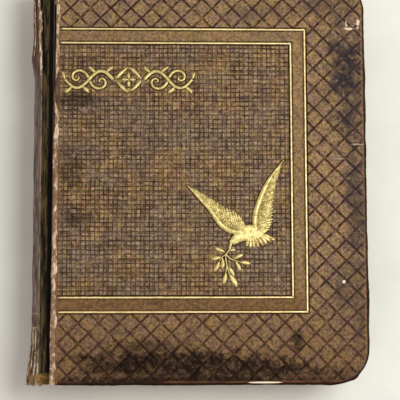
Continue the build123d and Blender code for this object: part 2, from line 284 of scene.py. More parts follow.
class Shade:
    """One procedural material. Each call adds a node and gives back its output. Places are in millimetres."""

    def __init__(self, name, roughness, specular, metallic=0.0):
        self.material = bpy.data.materials.new(name)
        self.material.use_nodes = True
        self.nodes = self.material.node_tree.nodes
        self.links = self.material.node_tree.links
        self.surface = self.nodes["Principled BSDF"].inputs
        self.surface["Roughness"].default_value = roughness
        self.surface["Metallic"].default_value = metallic
        self.surface["Specular IOR Level"].default_value = specular
        here = self.node("ShaderNodeTexCoord", {})["Object"]
        self.place = self.vector("MULTIPLY", here, (1 / MM,) * 3)
        self.x, self.y, self.z = self.node("ShaderNodeSeparateXYZ", {0: self.place})

    def put(self, socket, value):
        if isinstance(value, bpy.types.NodeSocket):
            self.links.new(value, socket)
        else:
            socket.default_value = value

    def node(self, kind, inputs, **settings):
        """A new node with its settings and inputs. Gives back its outputs."""
        node = self.nodes.new(kind)
        for key, value in settings.items():
            setattr(node, key, value)
        for key, value in inputs.items():
            self.put(node.inputs[key], value)
        return node.outputs

    def vector(self, operation, *values):
        return self.node("ShaderNodeVectorMath", dict(enumerate(values)), operation=operation)[0]

    def math(self, operation, first, *rest):
        """One operation over all the values in turn."""
        for value in rest or [0.0]:
            first = self.node("ShaderNodeMath", {0: first, 1: value}, operation=operation)[0]
        return first

    def add(self, *values):
        return self.math("ADD", *values)

    def mul(self, *values):
        return self.math("MULTIPLY", *values)

    def sub(self, a, b):
        return self.math("SUBTRACT", a, b)

    def top(self, *values):
        return self.math("MAXIMUM", *values)

    def low(self, *values):
        return self.math("MINIMUM", *values)

    def step(self, value, low, high, to_low=0.0, to_high=1.0):
        """A smooth rise from to_low to to_high between low and high."""
        return self.node("ShaderNodeMapRange", dict(enumerate((value, low, high, to_low, to_high))),
                         interpolation_type="SMOOTHSTEP")[0]

    def near(self, value, centre, half, soft):
        """1 within half of centre, falling to 0 over soft."""
        distance = self.math("ABSOLUTE", self.sub(value, centre))
        return self.step(distance, half, half + soft, 1.0, 0.0)

    def lines(self, value, pitch, half, soft):
        """1 on lines at each multiple of pitch."""
        return self.step(self.math("PINGPONG", value, pitch / 2), half, half + soft, 1.0, 0.0)

    def scaled(self, size, stretch):
        return self.vector("MULTIPLY", self.place, tuple(1.0 / (size * s) for s in stretch))

    def noise(self, size, detail=3.0, rough=0.55, shift=0.0, stretch=(1, 1, 1)):
        """Noise from 0 to 1, with features of about a size in millimetres, longer where stretched."""
        place = self.vector("ADD", self.scaled(size, stretch), (shift, shift * 1.7, shift * 0.6))
        return self.node("ShaderNodeTexNoise",
                         {"Vector": place, "Scale": 1.0, "Detail": detail, "Roughness": rough})[0]

    def cells(self, size, stretch):
        """A random value from 0 to 1 in each cell of a pattern."""
        place = self.vector("FLOOR", self.scaled(size, stretch))
        return self.node("ShaderNodeTexWhiteNoise", {"Vector": place}, noise_dimensions="3D")[0]

    def mix(self, factor, a, b, blend="MIX"):
        return self.node("ShaderNodeMix", {0: factor, 6: a, 7: b}, data_type="RGBA", blend_type=blend)[2]

    def tones(self, value, low, high, light, dark):
        """Starts the colour: two display colours mixed by a value that rises from low to high."""
        self.colour = self.mix(self.step(value, low, high), srgb(light), srgb(dark))

    def coat(self, colour, *factors):
        """Lays a display colour over the colour so far, as strongly as the factors' product."""
        self.colour = self.mix(self.mul(*factors) if len(factors) > 1 else factors[0], self.colour,
                               srgb(colour))

    def patches(self, *rows):
        """Patches of colour. A row is a noise's values, where it rises, its strength and a colour."""
        for grain, low, high, strength, colour in rows:
            self.coat(colour, self.step(self.noise(*grain), low, high, 0.0, strength))

    def blots(self, rows):
        """The strongest of some ragged patches, each 1 inside an ellipse across the cover.

        A row is its strength, centre, radii, softness, raggedness and the shift of its noise.
        """
        result = []
        for strength, centre, radii, soft, ragged, shift in rows:
            dx = self.mul(self.sub(self.x, centre[0]), 1.0 / radii[0])
            dy = self.mul(self.sub(self.y, centre[1]), 1.0 / radii[1])
            size = max(min(radii) * 0.8, 1.5)
            edge = self.mul(self.sub(self.noise(size, 4.0, 0.65, shift), 0.5), 4 * ragged)
            distance = self.add(self.math("SQRT", self.add(self.mul(dx, dx), self.mul(dy, dy))), edge)
            result.append(self.step(distance, 1 - soft, 1 + soft, strength, 0.0))
        return self.top(*result)

    def finish(self, height, bump, roughness=None):
        """The material with its colour, and with relief of a depth in millimetres."""
        self.put(self.surface["Base Color"], self.colour)
        if roughness is not None:
            self.put(self.surface["Roughness"], roughness)
        relief = self.node("ShaderNodeBump", {"Strength": 1.0, "Distance": bump * MM, "Height": height})[0]
        self.put(self.surface["Normal"], relief)
        return self.material


def weave(shade, pitch=0.5):
    """Height of a plain book-cloth weave."""
    across = shade.math("PINGPONG", shade.x, pitch / 2)
    along = shade.math("PINGPONG", shade.y, pitch / 2)
    return shade.mul(shade.add(across, along), 1.0 / pitch)


TAN = (134, 110, 74)
TAN_WARM = (138, 102, 68)
TAN_GREY = (112, 92, 80)
LINE_DARK = (46, 26, 26)
GRID_DARK = (40, 25, 20)
STAIN_DARK = (16, 8, 6)


def cover_base(shade):
    """The mottled tan of the covers' cloth, worn and rubbed."""
    shade.tones(shade.noise(9.0, 5.0, 0.6, 3.0), 0.35, 0.68, TAN, TAN_GREY)
    shade.patches(
        ((3.0, 4.0, 0.6, 8.0), 0.5, 0.72, 0.6, TAN_WARM),
        ((1.9, 3.0, 0.65, 23.0), 0.5, 0.66, 0.6, (122, 92, 88)),
        ((1.6, 3.0, 0.65, 27.0), 0.52, 0.68, 0.6, (140, 122, 60)),
        ((1.0, 3.0, 0.7, 33.0), 0.54, 0.7, 0.55, (176, 144, 98)),
        ((0.9, 3.0, 0.7, 1.0), 0.46, 0.64, 0.6, (74, 52, 34)))


def grained(shade):
    """Fine uneven wear: lighter and darker flecks, some purplish and some olive."""
    for grain, low, high in (((1.9, 5.0, 0.8, 61.0), (0.66,) * 3, (1.46,) * 3),
                             ((2.4, 3.0, 0.7, 67.0), (1.10, 0.96, 1.16), (0.98, 1.07, 0.84))):
        tint = shade.mix(shade.step(shade.noise(*grain), 0.38, 0.62), (*low, 1), (*high, 1))
        shade.colour = shade.mix(1.0, shade.colour, tint, "MULTIPLY")


def lattice_mask(shade):
    """Blind-stamped diagonal lines, rubbed away in places."""
    wander = shade.mul(shade.sub(shade.noise(14.0, 2.0, shift=5.0), 0.5), 0.8)
    total = shade.add(shade.x, shade.y, -LATTICE_SUM, wander)
    difference = shade.add(shade.sub(shade.x, shade.y), -LATTICE_DIFFERENCE, wander)
    spread = 0.42 * 1.414  # half a line's width, and its soft edge, along x
    one, two = (shade.lines(value, LATTICE_PITCH, spread, spread) for value in (total, difference))
    rubbed = shade.step(shade.noise(4.0, 5.0, 0.75, 11.0), 0.34, 0.56, 0.4, 1.0)
    return shade.mul(shade.top(one, two), rubbed)


def edge_distance(shade):
    """How far a point lies from the cover's free edges, in millimetres."""
    from_head = shade.sub(HALF_HEIGHT, shade.math("ABSOLUTE", shade.y))
    from_fore = shade.sub(FORE_X, shade.x)
    corner_x = shade.top(shade.sub(shade.x, FORE_X - BOARD_RADIUS), 0.0)
    corner_y = shade.top(shade.sub(shade.math("ABSOLUTE", shade.y), HALF_HEIGHT - BOARD_RADIUS), 0.0)
    reach = shade.math("SQRT", shade.add(shade.mul(corner_x, corner_x), shade.mul(corner_y, corner_y)))
    corner = shade.sub(BOARD_RADIUS, reach)
    return shade.low(from_head, from_fore, corner)


# Marks on the front cover. Each row: strength, centre, radii, softness, raggedness, shift of its noise.
DARK_STAINS = (
    (1.0, (-16.0, -107.0), (48.0, 8.0), 0.4, 0.75, 1.0), (0.95, (30.0, -109.5), (30.0, 6.5), 0.4, 0.8, 2.0),
    (0.7, (-30.0, -97.0), (22.0, 3.5), 0.5, 0.9, 28.0), (0.9, (-4.0, -116.0), (66.0, 4.2), 0.5, 0.8, 45.0),
    (0.8, (-55.0, -108.0), (11.0, 5.5), 0.5, 0.5, 3.0), (0.9, (56.0, -94.0), (3.2, 6.0), 0.5, 0.5, 4.0),
    (0.75, (-70.0, 45.0), (11.0, 4.5), 0.5, 0.6, 5.0), (0.55, (-74.0, 6.0), (6.5, 13.0), 0.5, 0.6, 6.0),
    (0.6, (-71.0, -24.0), (8.0, 5.0), 0.5, 0.6, 7.0), (0.6, (76.0, -112.5), (14.0, 3.5), 0.6, 0.6, 8.0))
SCUFFS = (
    (1.0, (87.0, 62.0), (10.0, 30.0), 0.7, 0.9, 9.0), (0.75, (90.5, 34.0), (6.0, 18.0), 0.5, 0.9, 10.0),
    (0.5, (86.0, 100.0), (9.0, 9.0), 0.6, 0.9, 53.0), (0.55, (89.0, -52.0), (6.0, 9.0), 0.5, 0.7, 11.0),
    (0.75, (91.0, -14.0), (6.5, 36.0), 0.6, 0.9, 12.0), (0.5, (92.0, -80.0), (4.0, 20.0), 0.6, 0.9, 49.0),
    (0.5, (-66.0, 63.0), (9.0, 6.0), 0.6, 0.6, 13.0), (0.35, (40.0, 98.0), (20.0, 5.0), 0.6, 0.8, 14.0),
    (0.6, (84.0, -66.0), (9.0, 12.0), 0.6, 0.9, 24.0), (0.45, (74.0, 102.0), (14.0, 6.0), 0.6, 0.8, 25.0))
PALE_KNOCKS = (
    (0.8, (88.0, 88.3), (2.2, 0.7), 0.5, 0.9, 17.0), (0.6, (86.6, 90.6), (0.5, 2.0), 0.5, 0.9, 55.0),
    (0.85, (93.6, 91.5), (0.9, 2.4), 0.5, 0.9, 18.0), (1.0, (83.0, -60.4), (0.9, 0.9), 0.3, 0.3, 19.0),
    (0.4, (92.0, 19.5), (3.4, 0.35), 0.5, 0.3, 20.0), (0.3, (81.0, 11.0), (3.4, 0.3), 0.5, 0.3, 21.0),
    (1.0, (37.0, -117.4), (9.6, 0.5), 0.12, 0.08, 22.0))


def grid_mask(shade):
    """The stamped grid's lines: some are doubled and finer, and all are broken here and there."""
    wander = shade.mul(shade.sub(shade.noise(17.0, 2.0, shift=2.0), 0.5), 1.3)
    sets = []
    for value, half, offset, every, stretch, shift, low, high in (
            (shade.add(shade.x, wander), 0.22, 0.95, 2, (1, 3, 1), 4.0, 0.32, 0.55),
            (shade.sub(shade.y, wander), 0.24, 0.9, 3, (3, 1, 1), 44.0, 0.30, 0.52)):
        doubled = shade.lines(shade.add(value, offset), GRID_PITCH * every, 0.14, 0.25)
        line = shade.top(shade.lines(value, GRID_PITCH, half, half + 0.12), shade.mul(doubled, 0.75))
        sets.append(shade.mul(line,
                              shade.step(shade.noise(1.6, 2.0, 0.55, shift, stretch), low, high, 0.5, 1.0)))
    return shade.mul(shade.top(*sets), shade.step(shade.noise(7.0, shift=6.0), 0.3, 0.7, 0.65, 1.0))


def front_cloth_material():
    shade = Shade("front_cloth", 0.7, 0.03)
    cover_base(shade)
    # How far outside each rule's rectangle a point lies; negative inside it.
    outer, inner = (
        shade.top(shade.sub(shade.x, right), shade.sub(shade.y, head), shade.sub(tail, shade.y))
        for right, tail, head in ((RULE_X, RULE_TAIL, RULE_HEAD), (INNER_X, INNER_TAIL, INNER_HEAD)))
    edge = edge_distance(shade)
    outside = shade.mul(shade.step(outer, 0.6, 0.9),
                        shade.step(edge, LATTICE_MARGIN - 1, LATTICE_MARGIN + 0.5))
    inside = shade.step(inner, -0.9, -0.6, 1.0, 0.0)
    lattice = shade.mul(lattice_mask(shade), outside)
    shade.coat(LINE_DARK, lattice, 0.95)

    # The centre: its cells differ in tint between the grid's lines.
    around = shade.colour
    shade.tones(shade.noise(20.0, 4.0, 0.6, 52.0), 0.4, 0.6, (146, 118, 80), (130, 112, 92))
    for share, stretch, low, strength, colour in (
            (1.0, (1, 1, 1), 0.3, 0.55, (104, 82, 70)), (0.5, (1, 2.4, 1), 0.6, 0.5, (92, 70, 48)),
            (0.5, (2.7, 1, 1), 0.6, 0.5, (160, 138, 106))):
        shade.coat(colour, shade.step(shade.cells(GRID_PITCH * share, stretch), low, 1.0, 0.0, strength))
    shade.patches(((0.8, 3.0, 0.7, 35.0), 0.5, 0.66, 0.55, (72, 52, 42)))
    grid = grid_mask(shade)
    shade.coat(GRID_DARK, grid, 0.93)
    shade.colour = shade.mix(inside, around, shade.colour)

    # Dark outlines of painted shade where the rules were stamped in, and the plain band between them.
    outlines = [shade.near(shade.math("ABSOLUTE", distance), 0.9, 0.28, 0.35) for distance in (outer, inner)]
    stamped = shade.mul(shade.top(*outlines), shade.step(edge, 5.0, 6.0))
    shade.coat((26, 13, 8), stamped, 0.93)
    band = shade.mul(shade.step(outer, -0.9, -0.7, 1.0, 0.0), shade.step(inner, 0.7, 0.9))
    grain = shade.noise(1.2, shift=9.0, stretch=(3, 1, 1))
    shade.coat((116, 94, 62), band, shade.step(grain, 0.3, 0.7, 0.1, 0.6))
    shade.coat((98, 70, 42), band, shade.step(shade.y, INNER_TAIL + 6, INNER_TAIL - 1), 0.6)

    # Darker towards the tail.
    shade.coat((78, 52, 34), shade.step(shade.y, -40.0, -HALF_HEIGHT, 0.0, 0.5))
    grained(shade)
    ragged = shade.add(shade.y, shade.mul(shade.noise(5.0, 4.0, 0.7, 48.0), 6.0))
    shade.coat((44, 27, 18), shade.step(ragged, -HALF_HEIGHT + 9.0, -HALF_HEIGHT + 4.0, 0.0, 0.75))

    # Stains: the near-black band at the tail and dark patches by the joint, then blue-grey scuffs.
    dark = shade.mul(shade.blots(DARK_STAINS),
                     shade.step(shade.noise(2.4, 5.0, 0.75, 46.0), 0.36, 0.56, 0.6, 1.0))
    shade.coat(STAIN_DARK, dark, 0.95)
    cloud = shade.step(shade.noise(13.0, 5.0, 0.7, 26.0), 0.6, 0.7, 0.0, 0.35)
    scuff = shade.step(shade.noise(2.4, 5.0, 0.78, 54.0), 0.36, 0.54, 0.5, 1.0)
    shade.coat((46, 40, 43), shade.top(shade.blots(SCUFFS), cloud), scuff)

    # Rubbed places: the tail edge's reddish strip, the tan rim and small pale knocks; and the dark sides,
    # which are painted shade.
    ragged = shade.add(shade.y, shade.mul(shade.noise(6.0, shift=7.0, stretch=(3, 1, 1)), 3.0))
    tail_strip = shade.mul(shade.step(ragged, -HALF_HEIGHT + 4.6, -HALF_HEIGHT + 3.6),
                           shade.step(shade.x, -34.0, -18.0), shade.step(shade.x, 80.0, 84.0, 1.0, 0.0), 0.9)
    fibres = shade.step(shade.noise(1.1, shift=15.0, stretch=(9, 1, 1)), 0.35, 0.7)
    shade.colour = shade.mix(tail_strip, shade.colour,
                             shade.mix(fibres, srgb((48, 26, 20)), srgb((106, 70, 48))))
    shade.coat((150, 110, 68), shade.step(edge, 1.0, 1.6), shade.step(edge, 2.0, 3.0, 1.0, 0.0),
               shade.step(shade.noise(6.0, 4.0, 0.7, 16.0), 0.42, 0.6), shade.step(shade.y, -104.0, -92.0),
               0.3)
    # The cover's sides darkened: painted shade.
    shade.coat((30, 17, 13), shade.step(edge, 1.1, 2.0, 0.9, 0.0))
    shade.coat((236, 218, 188), shade.blots(PALE_KNOCKS), 0.9)
    # Beside the tear the cloth is rubbed down to pale brown.
    ragged = shade.add(shade.x, shade.mul(shade.noise(2.5, 4.0, 0.7, 30.0, (1, 2, 1)), 7.0))
    shade.coat((118, 86, 60), shade.step(ragged, JOINT_X + 4.4, JOINT_X + 6.0, 0.8, 0.0))

    height = shade.add(shade.mul(weave(shade), 0.35), shade.mul(lattice, -0.9), shade.mul(grid, inside, -0.7),
                       shade.mul(stamped, -0.8), shade.mul(shade.noise(0.8, 4.0, 0.7, 21.0), 0.6))
    rough = shade.step(shade.noise(8.0, 4.0, shift=22.0), 0.3, 0.7, 0.5, 0.75)
    return shade.finish(height, 0.22, shade.sub(rough, shade.mul(dark, 0.12)))


def back_cloth_material():
    shade = Shade("back_cloth", 0.7, 0.03)
    cover_base(shade)
    edge = edge_distance(shade)
    lattice = shade.mul(lattice_mask(shade), shade.step(edge, LATTICE_MARGIN - 1, LATTICE_MARGIN + 0.5))
    shade.coat(LINE_DARK, lattice, 0.85)
    grained(shade)
    shade.patches(((26.0, 5.0, 0.65, 40.0), 0.55, 0.75, 0.6, STAIN_DARK))
    # The cover's sides darkened: painted shade.
    shade.coat((52, 33, 27), shade.step(edge, 0.1, 0.6, 0.65, 0.0))
    return shade.finish(shade.add(shade.mul(weave(shade), 0.35), shade.mul(lattice, -0.9),
                                  shade.mul(shade.noise(0.8, 4.0, 0.7), 0.6)), 0.22)


RIDGE_X = -92.0  # where the spine's flat shoulder meets its round, seen from above
CRACK_X = -94.3  # where the split starts at the head, and how fast it runs towards the joint
CRACK_SLOPE = 2.4 / 58.0


def spine_material():
    """Greyed cloth on the round, dark dirty cloth with painted shade on the shoulder, and bare places at both
    ends.
    """
    shade = Shade("spine_cloth_worn_and_shaded", 0.7, 0.1)
    streak = shade.noise(1.6, 4.0, 0.65, 2.0, (1, 9, 1))
    mottle = shade.noise(6.0, 5.0, 0.65, 5.0, (1, 2, 1))
    shade.tones(streak, 0.35, 0.65, (142, 124, 112), (90, 74, 64))
    shade.coat((52, 38, 30), shade.step(mottle, 0.45, 0.7, 0.0, 0.7))
    round_colour = shade.colour
    # The shoulder: dark dirty cloth with the front board's painted shadow, and near-black painted shade by
    # the groove.
    shade.tones(streak, 0.42, 0.62, (20, 14, 8), (78, 64, 38))
    shade.coat((6, 4, 3), shade.step(shade.add(shade.x, mottle), SHOULDER_X - 2.2, SHOULDER_X - 1.2))
    shoulder = shade.step(shade.add(shade.x, shade.mul(shade.sub(mottle, 0.5), 0.8)), RIDGE_X - 0.2,
                          RIDGE_X + 0.5)
    shade.colour = shade.mix(shoulder, round_colour, shade.colour)
    shade.coat((160, 142, 112), shade.near(shade.x, RIDGE_X - 0.35, 0.22, 0.3),
               shade.step(shade.noise(4.0, 4.0, 0.7, 7.0, (1, 2, 1)), 0.42, 0.6), 0.6)
    # Reddish bare strips and a dark gap beside the split at the head; the gap's dark is painted shade.
    head = shade.step(shade.add(shade.y, shade.mul(mottle, 6.0)), 62.0, 68.0)
    red = shade.mul(head, shade.step(shade.x, -93.2, -93.9),
                    shade.step(shade.add(shade.z, shade.mul(mottle, 9.0)), MID_Z + 8, MID_Z + 17), 0.8)
    bare = shade.mix(shade.step(streak, 0.4, 0.6), srgb((122, 78, 62)), srgb((36, 18, 14)))
    shade.colour = shade.mix(red, shade.colour, bare)
    crack = shade.add(shade.mul(shade.sub(HALF_HEIGHT, shade.y), CRACK_SLOPE), CRACK_X)
    # Painted shade in the split's gap.
    shade.coat((8, 5, 4), head, shade.near(shade.sub(shade.x, crack), 1.1, 0.7, 0.5), 0.95)
    # Pale and dark streaks where the tail has split, its golden end, and pale knocks along the round.
    shade.coat((222, 206, 172), shade.step(shade.y, -80.0, -92.0), shade.step(shade.x, -91.5, -92.3),
               shade.step(shade.noise(1.3, shift=9.0, stretch=(1, 12, 1)), 0.50, 0.58), 0.85)
    shade.coat((26, 17, 10), shade.step(shade.y, -74.0, -90.0),
               shade.step(shade.noise(1.1, shift=19.0, stretch=(1, 14, 1)), 0.48, 0.58), 0.85)
    shade.coat((150, 114, 60), shade.step(shade.y, -111.0, -114.0),
               shade.step(shade.noise(2.5, 4.0, shift=13.0), 0.35, 0.6), 0.8)
    shade.coat((180, 160, 140), shade.step(shade.x, -91.6, -92.4),
               shade.step(shade.noise(2.2, 4.0, 0.7, 17.0, (1, 2.5, 1)), 0.64, 0.7), 0.8)
    height = shade.add(shade.mul(weave(shade), 0.3), shade.mul(streak, 0.8),
                       shade.mul(shade.noise(0.7, 4.0, 0.7), 0.5))
    return shade.finish(height, 0.3, shade.step(mottle, 0.3, 0.7, 0.62, 0.8))


def gilt_material(name, wear, light, dark):
    """Gold blocking, rubbed through to the cloth in small flecks."""
    shade = Shade(name, 0.4, 0.5, metallic=0.35)
    tone = shade.noise(2.2, 4.0, 0.6, 3.0)
    shade.tones(tone, 0.35, 0.68, light, dark)
    shade.patches(((0.8, 3.0, 0.7, 6.0), 0.72 - wear, 0.80 - wear, 0.8, (104, 76, 34)))
    return shade.finish(shade.noise(0.5, 3.0, 0.7, 9.0), 0.08, shade.step(tone, 0.3, 0.7, 0.3, 0.5))


def plain_material(name, roughness, grain, span, light, dark, bump, *patches, specular=0.2, fine=None):
    """Two tones mixed by a grain that also gives relief, and patches. fine is a finer relief: size, share."""
    shade = Shade(name, roughness, specular)
    value = shade.noise(*grain)
    shade.tones(value, *span, light, dark)
    shade.patches(*patches)
    height = shade.add(value, shade.mul(shade.noise(fine[0]), fine[1])) if fine else value
    return shade.finish(height, bump)


def paper_material(name, light, dark, size, stretch, dirt):
    """Aged paper: leaf edges as fine lines where stretched along x and y, with dirt and foxing."""
    return plain_material(
        name, 0.85, (size, 3.0, 0.6, 1.0, stretch), (0.32, 0.68), light, dark, 0.1,
        ((24.0, 5.0, 0.6, 4.0), 0.5, 0.75, dirt, (140, 112, 74)),
        ((2.4, 3.0, 0.6, 7.0), 0.72, 0.8, 0.45, (156, 112, 62)), fine=(0.5, 0.4))


def print_material():
    """An opened page: two columns of plain grey rows that stand for print, on aged paper."""
    shade = Shade("page_face", 0.85, 0.2)
    shade.tones(shade.noise(30.0, 4.0, 0.6, 2.0), 0.35, 0.7, (228, 212, 178), (208, 186, 144))
    shade.coat((176, 148, 102), shade.step(edge_distance(shade), 4.0, 16.0, 0.5, 0.0))
    row = shade.lines(shade.y, 2.7, 0.35, 0.25)
    words = shade.step(shade.noise(1.2, 2.0, shift=5.0, stretch=(2.6, 1, 1)), 0.36, 0.46)
    columns = shade.top(*(shade.near(shade.x, middle, 32.5, 0.3) for middle in (-28.0, 40.0)))
    shade.coat((92, 84, 76), row, words, columns, shade.near(shade.y, 0.0, 98.0, 0.3), 0.5)
    return shade.finish(shade.noise(0.6), 0.06)


def threads_material(name, light, dark, pitch, open_weave):
    """Linen: crossing threads with a pitch in millimetres, with dark gaps where the weave is open."""
    shade = Shade(name, 0.85, 0.2)
    up = shade.math("PINGPONG", shade.add(shade.x, shade.z), pitch / 2)
    along = shade.math("PINGPONG", shade.y, pitch / 2)
    thread = shade.mul(shade.low(up, along), 2.0 / pitch)
    tone = shade.noise(3.0, 4.0, shift=3.0)
    shade.tones(tone, 0.35, 0.7, light, dark)
    shade.coat((112, 88, 60), shade.step(thread, 0.25, 0.6, 0.0, open_weave))
    return shade.finish(shade.sub(tone, thread), 0.2)


def band_material():
    """A sewn band: red and cream threads laid across its bead in turn."""
    shade = Shade("sewn_band", 0.7, 0.3)
    turn = shade.lines(shade.add(shade.z, shade.mul(shade.noise(3.0, 2.0), 0.4)), 3.2, 0.75, 0.12)
    shade.colour = shade.mix(turn, srgb((204, 184, 146)), srgb((128, 54, 40)))
    shade.patches(((2.0, 4.0, 0.55, 4.0), 0.4, 0.75, 0.6, (92, 68, 46)))
    return shade.finish(shade.math("PINGPONG", shade.z, 0.2), 0.1)


def floor_material():
    shade = Shade("pale_floor", 0.75, 0.2)
    shade.tones(shade.noise(60.0, shift=2.0), 0.35, 0.65, (222, 222, 214), (215, 215, 208))
    return shade.finish(shade.noise(1.5), 0.05)


front_cloth = front_cloth_material()
back_cloth = back_cloth_material()
spine_worn_and_shaded = spine_material()
gilt = gilt_material("gilt", 0.13, (210, 194, 126), (172, 150, 84))
gilt_rules = gilt_material("gilt_rules", 0.12, (238, 218, 158), (212, 184, 118))
gilt_rubbed = gilt_material("gilt_rubbed", 0.26, (206, 182, 120), (164, 136, 82))
gilt_feathers = gilt_material("gilt_feathers", 0.22, (218, 202, 130), (164, 140, 74))
page_edges = paper_material("page_edges", (206, 184, 142), (150, 122, 84), 0.22, (60, 60, 1), 0.5)
page_face = print_material()
endpaper = paper_material("endpaper", (206, 184, 144), (190, 164, 122), 9.0, (1, 1, 1), 0.55)
mull = threads_material("mull", (206, 196, 168), (176, 160, 128), 1.1, 0.8)
tape = threads_material("tape", (214, 202, 172), (182, 166, 132), 0.5, 0.35)
thread = threads_material("thread", (222, 212, 186), (190, 176, 146), 0.35, 0.3)
sewn_band = band_material()
millboard = plain_material(
    "millboard", 0.9, (0.5, 3.0, 0.55, 3.0, (14, 14, 1)), (0.35, 0.65), (150, 126, 98), (112, 90, 66), 0.2,
    ((1.1, 3.0, 0.7, 8.0), 0.62, 0.7, 0.5, (206, 186, 150)), fine=(0.4, 1.0))
card = plain_material(
    "thin_card", 0.88, (1.4, 4.0, 0.7, 6.0, (1, 3, 1)), (0.35, 0.7), (176, 146, 104), (134, 104, 70), 0.12)
kraft = plain_material(
    "lining_paper", 0.85, (2.0, 5.0, 0.7, 2.0, (1, 4, 1)), (0.35, 0.68), (142, 104, 66), (96, 66, 42), 0.15,
    ((8.0, 4.0, 0.55, 9.0), 0.6, 0.7, 0.5, (70, 44, 24)))
# Torn paper and cloth at the joint: cream fibres, browned in places.
torn = plain_material(
    "torn_joint", 0.9, (0.7, 4.0, 0.7, 3.0, (1, 6, 1)), (0.3, 0.7), (232, 210, 180), (158, 124, 90), 0.25,
    ((2.6, 4.0, 0.7, 12.0, (1, 2.5, 1)), 0.44, 0.53, 0.8, (104, 70, 44)))
cloth_rag = plain_material(
    "cloth_rag", 0.7, (1.0, 4.0, 0.7, 0.0, (1, 4, 1)), (0.35, 0.68), (104, 76, 50), (56, 36, 24), 0.2,
    specular=0.3)
# Nearly black in the groove: old glue and dust, and painted shade of the deep groove.
glue_and_groove_shade = plain_material(
    "glue_and_groove_shade", 0.8, (1.5, 4.0, 0.7, 2.0, (1, 3, 1)), (0.4, 0.75), (14, 9, 7), (52, 38, 26), 0.3,
    specular=0.15)
# Painted shade: the dark rim around the gold where it was stamped into the cloth.
impression_shade = plain_material(
    "impression_shade", 0.75, (1.2, 4.0, 0.7, 4.0), (0.35, 0.7), (36, 18, 10), (66, 44, 26), 0.15, specular=0.1)

CAD_MATERIALS = {
    "front_board": millboard, "back_board": millboard, "front_board_infill": card, "back_board_infill": card,
    "spine_card": card, "spine_lining": kraft, "spine_mull": mull, "front_mull_flange": mull,
    "back_mull_flange": mull, "sewing_tapes": tape, "kettle_stitches": thread,
    "front_pastedown": endpaper, "back_pastedown": endpaper, "back_flyleaf": endpaper,
    "opening_folds": page_edges,
}
for node, material in CAD_MATERIALS.items():
    mesh = frame["nodes"][node].data
    mesh.materials.clear()
    mesh.materials.append(material)


# ---- Covers ----
def tear(y):
    """How far the torn cloth stands back from the front board's joint edge."""
    wave = (0.95 + 0.4 * y / HALF_HEIGHT + 0.4 * noise(0, y, 16.0, 3) + 0.55 * noise(0, y, 4.5, 4)
            + 0.3 * noise(0, y, 1.4, 5))
    flap = np.exp(-(((y - 50.0) / 10.0) ** 4))  # a leaf of brown cloth is left here
    return np.clip(wave * (1 - 0.75 * flap), 0.15, 3.6)


def overhang(y):
    """How far the torn under-layer hangs out over the groove: more towards the tail."""
    return 1.35 - 0.95 * y / HALF_HEIGHT + 0.3 * noise(0, y, 7.0, 76)


def margin(x, y):
    return np.minimum(HALF_HEIGHT - np.abs(y), FORE_X - x)


def lattice_line(x, y):
    """Distance to the nearest line of the stamped lattice."""
    return np.minimum(line_distance(x + y - LATTICE_SUM, LATTICE_PITCH),
                      line_distance(x - y - LATTICE_DIFFERENCE, LATTICE_PITCH)) / sqrt(2)


def dent(distance, width):
    return np.exp(-((distance / width) ** 2))


def front_relief(x, y):
    """How deep the front cover's face is stamped and worn."""
    outer = np.maximum.reduce([x - RULE_X, y - RULE_HEAD, RULE_TAIL - y])
    inner = np.maximum.reduce([x - INNER_X, y - INNER_HEAD, INNER_TAIL - y])
    edge = margin(x, y)
    lattice = dent(lattice_line(x, y), 0.6) * (outer > 0.8) * smooth_step(edge, 1.6, 3.0)
    cross = np.minimum(line_distance(x, GRID_PITCH), line_distance(y, GRID_PITCH))
    grid = dent(cross, 0.45) * (inner < -0.9)
    rules = dent(outer, 0.8) + dent(inner, 0.8)
    knocks = smooth_step(noise(x, y, 5.0, 21), 0.55, 0.95) * 0.12
    sway = 0.05 * noise(x, y, 45.0, 22) + 0.03 * noise(x, y, 9.0, 23)
    return 0.2 * lattice + 0.13 * grid + 0.16 * rules * (edge > 5) + knocks + sway + 0.08


def back_relief(x, y):
    """How deep the back cover's face is stamped."""
    lattice = dent(lattice_line(x, y), 0.9) * smooth_step(margin(x, y), 3.0, 4.5)
    return 0.15 * lattice + 0.05 * noise(x, y, 12.0, 31) + 0.05


# Where the front cover's edge is bumped and swollen: place, how far out, how wide.
SWELLINGS = ((88.0, -114.2, 0.9, 2.6), (74.0, -118.5, 0.45, 4.0), (97.0, 60.0, 0.3, 8.0),
             (97.0, -70.0, 0.35, 9.0))


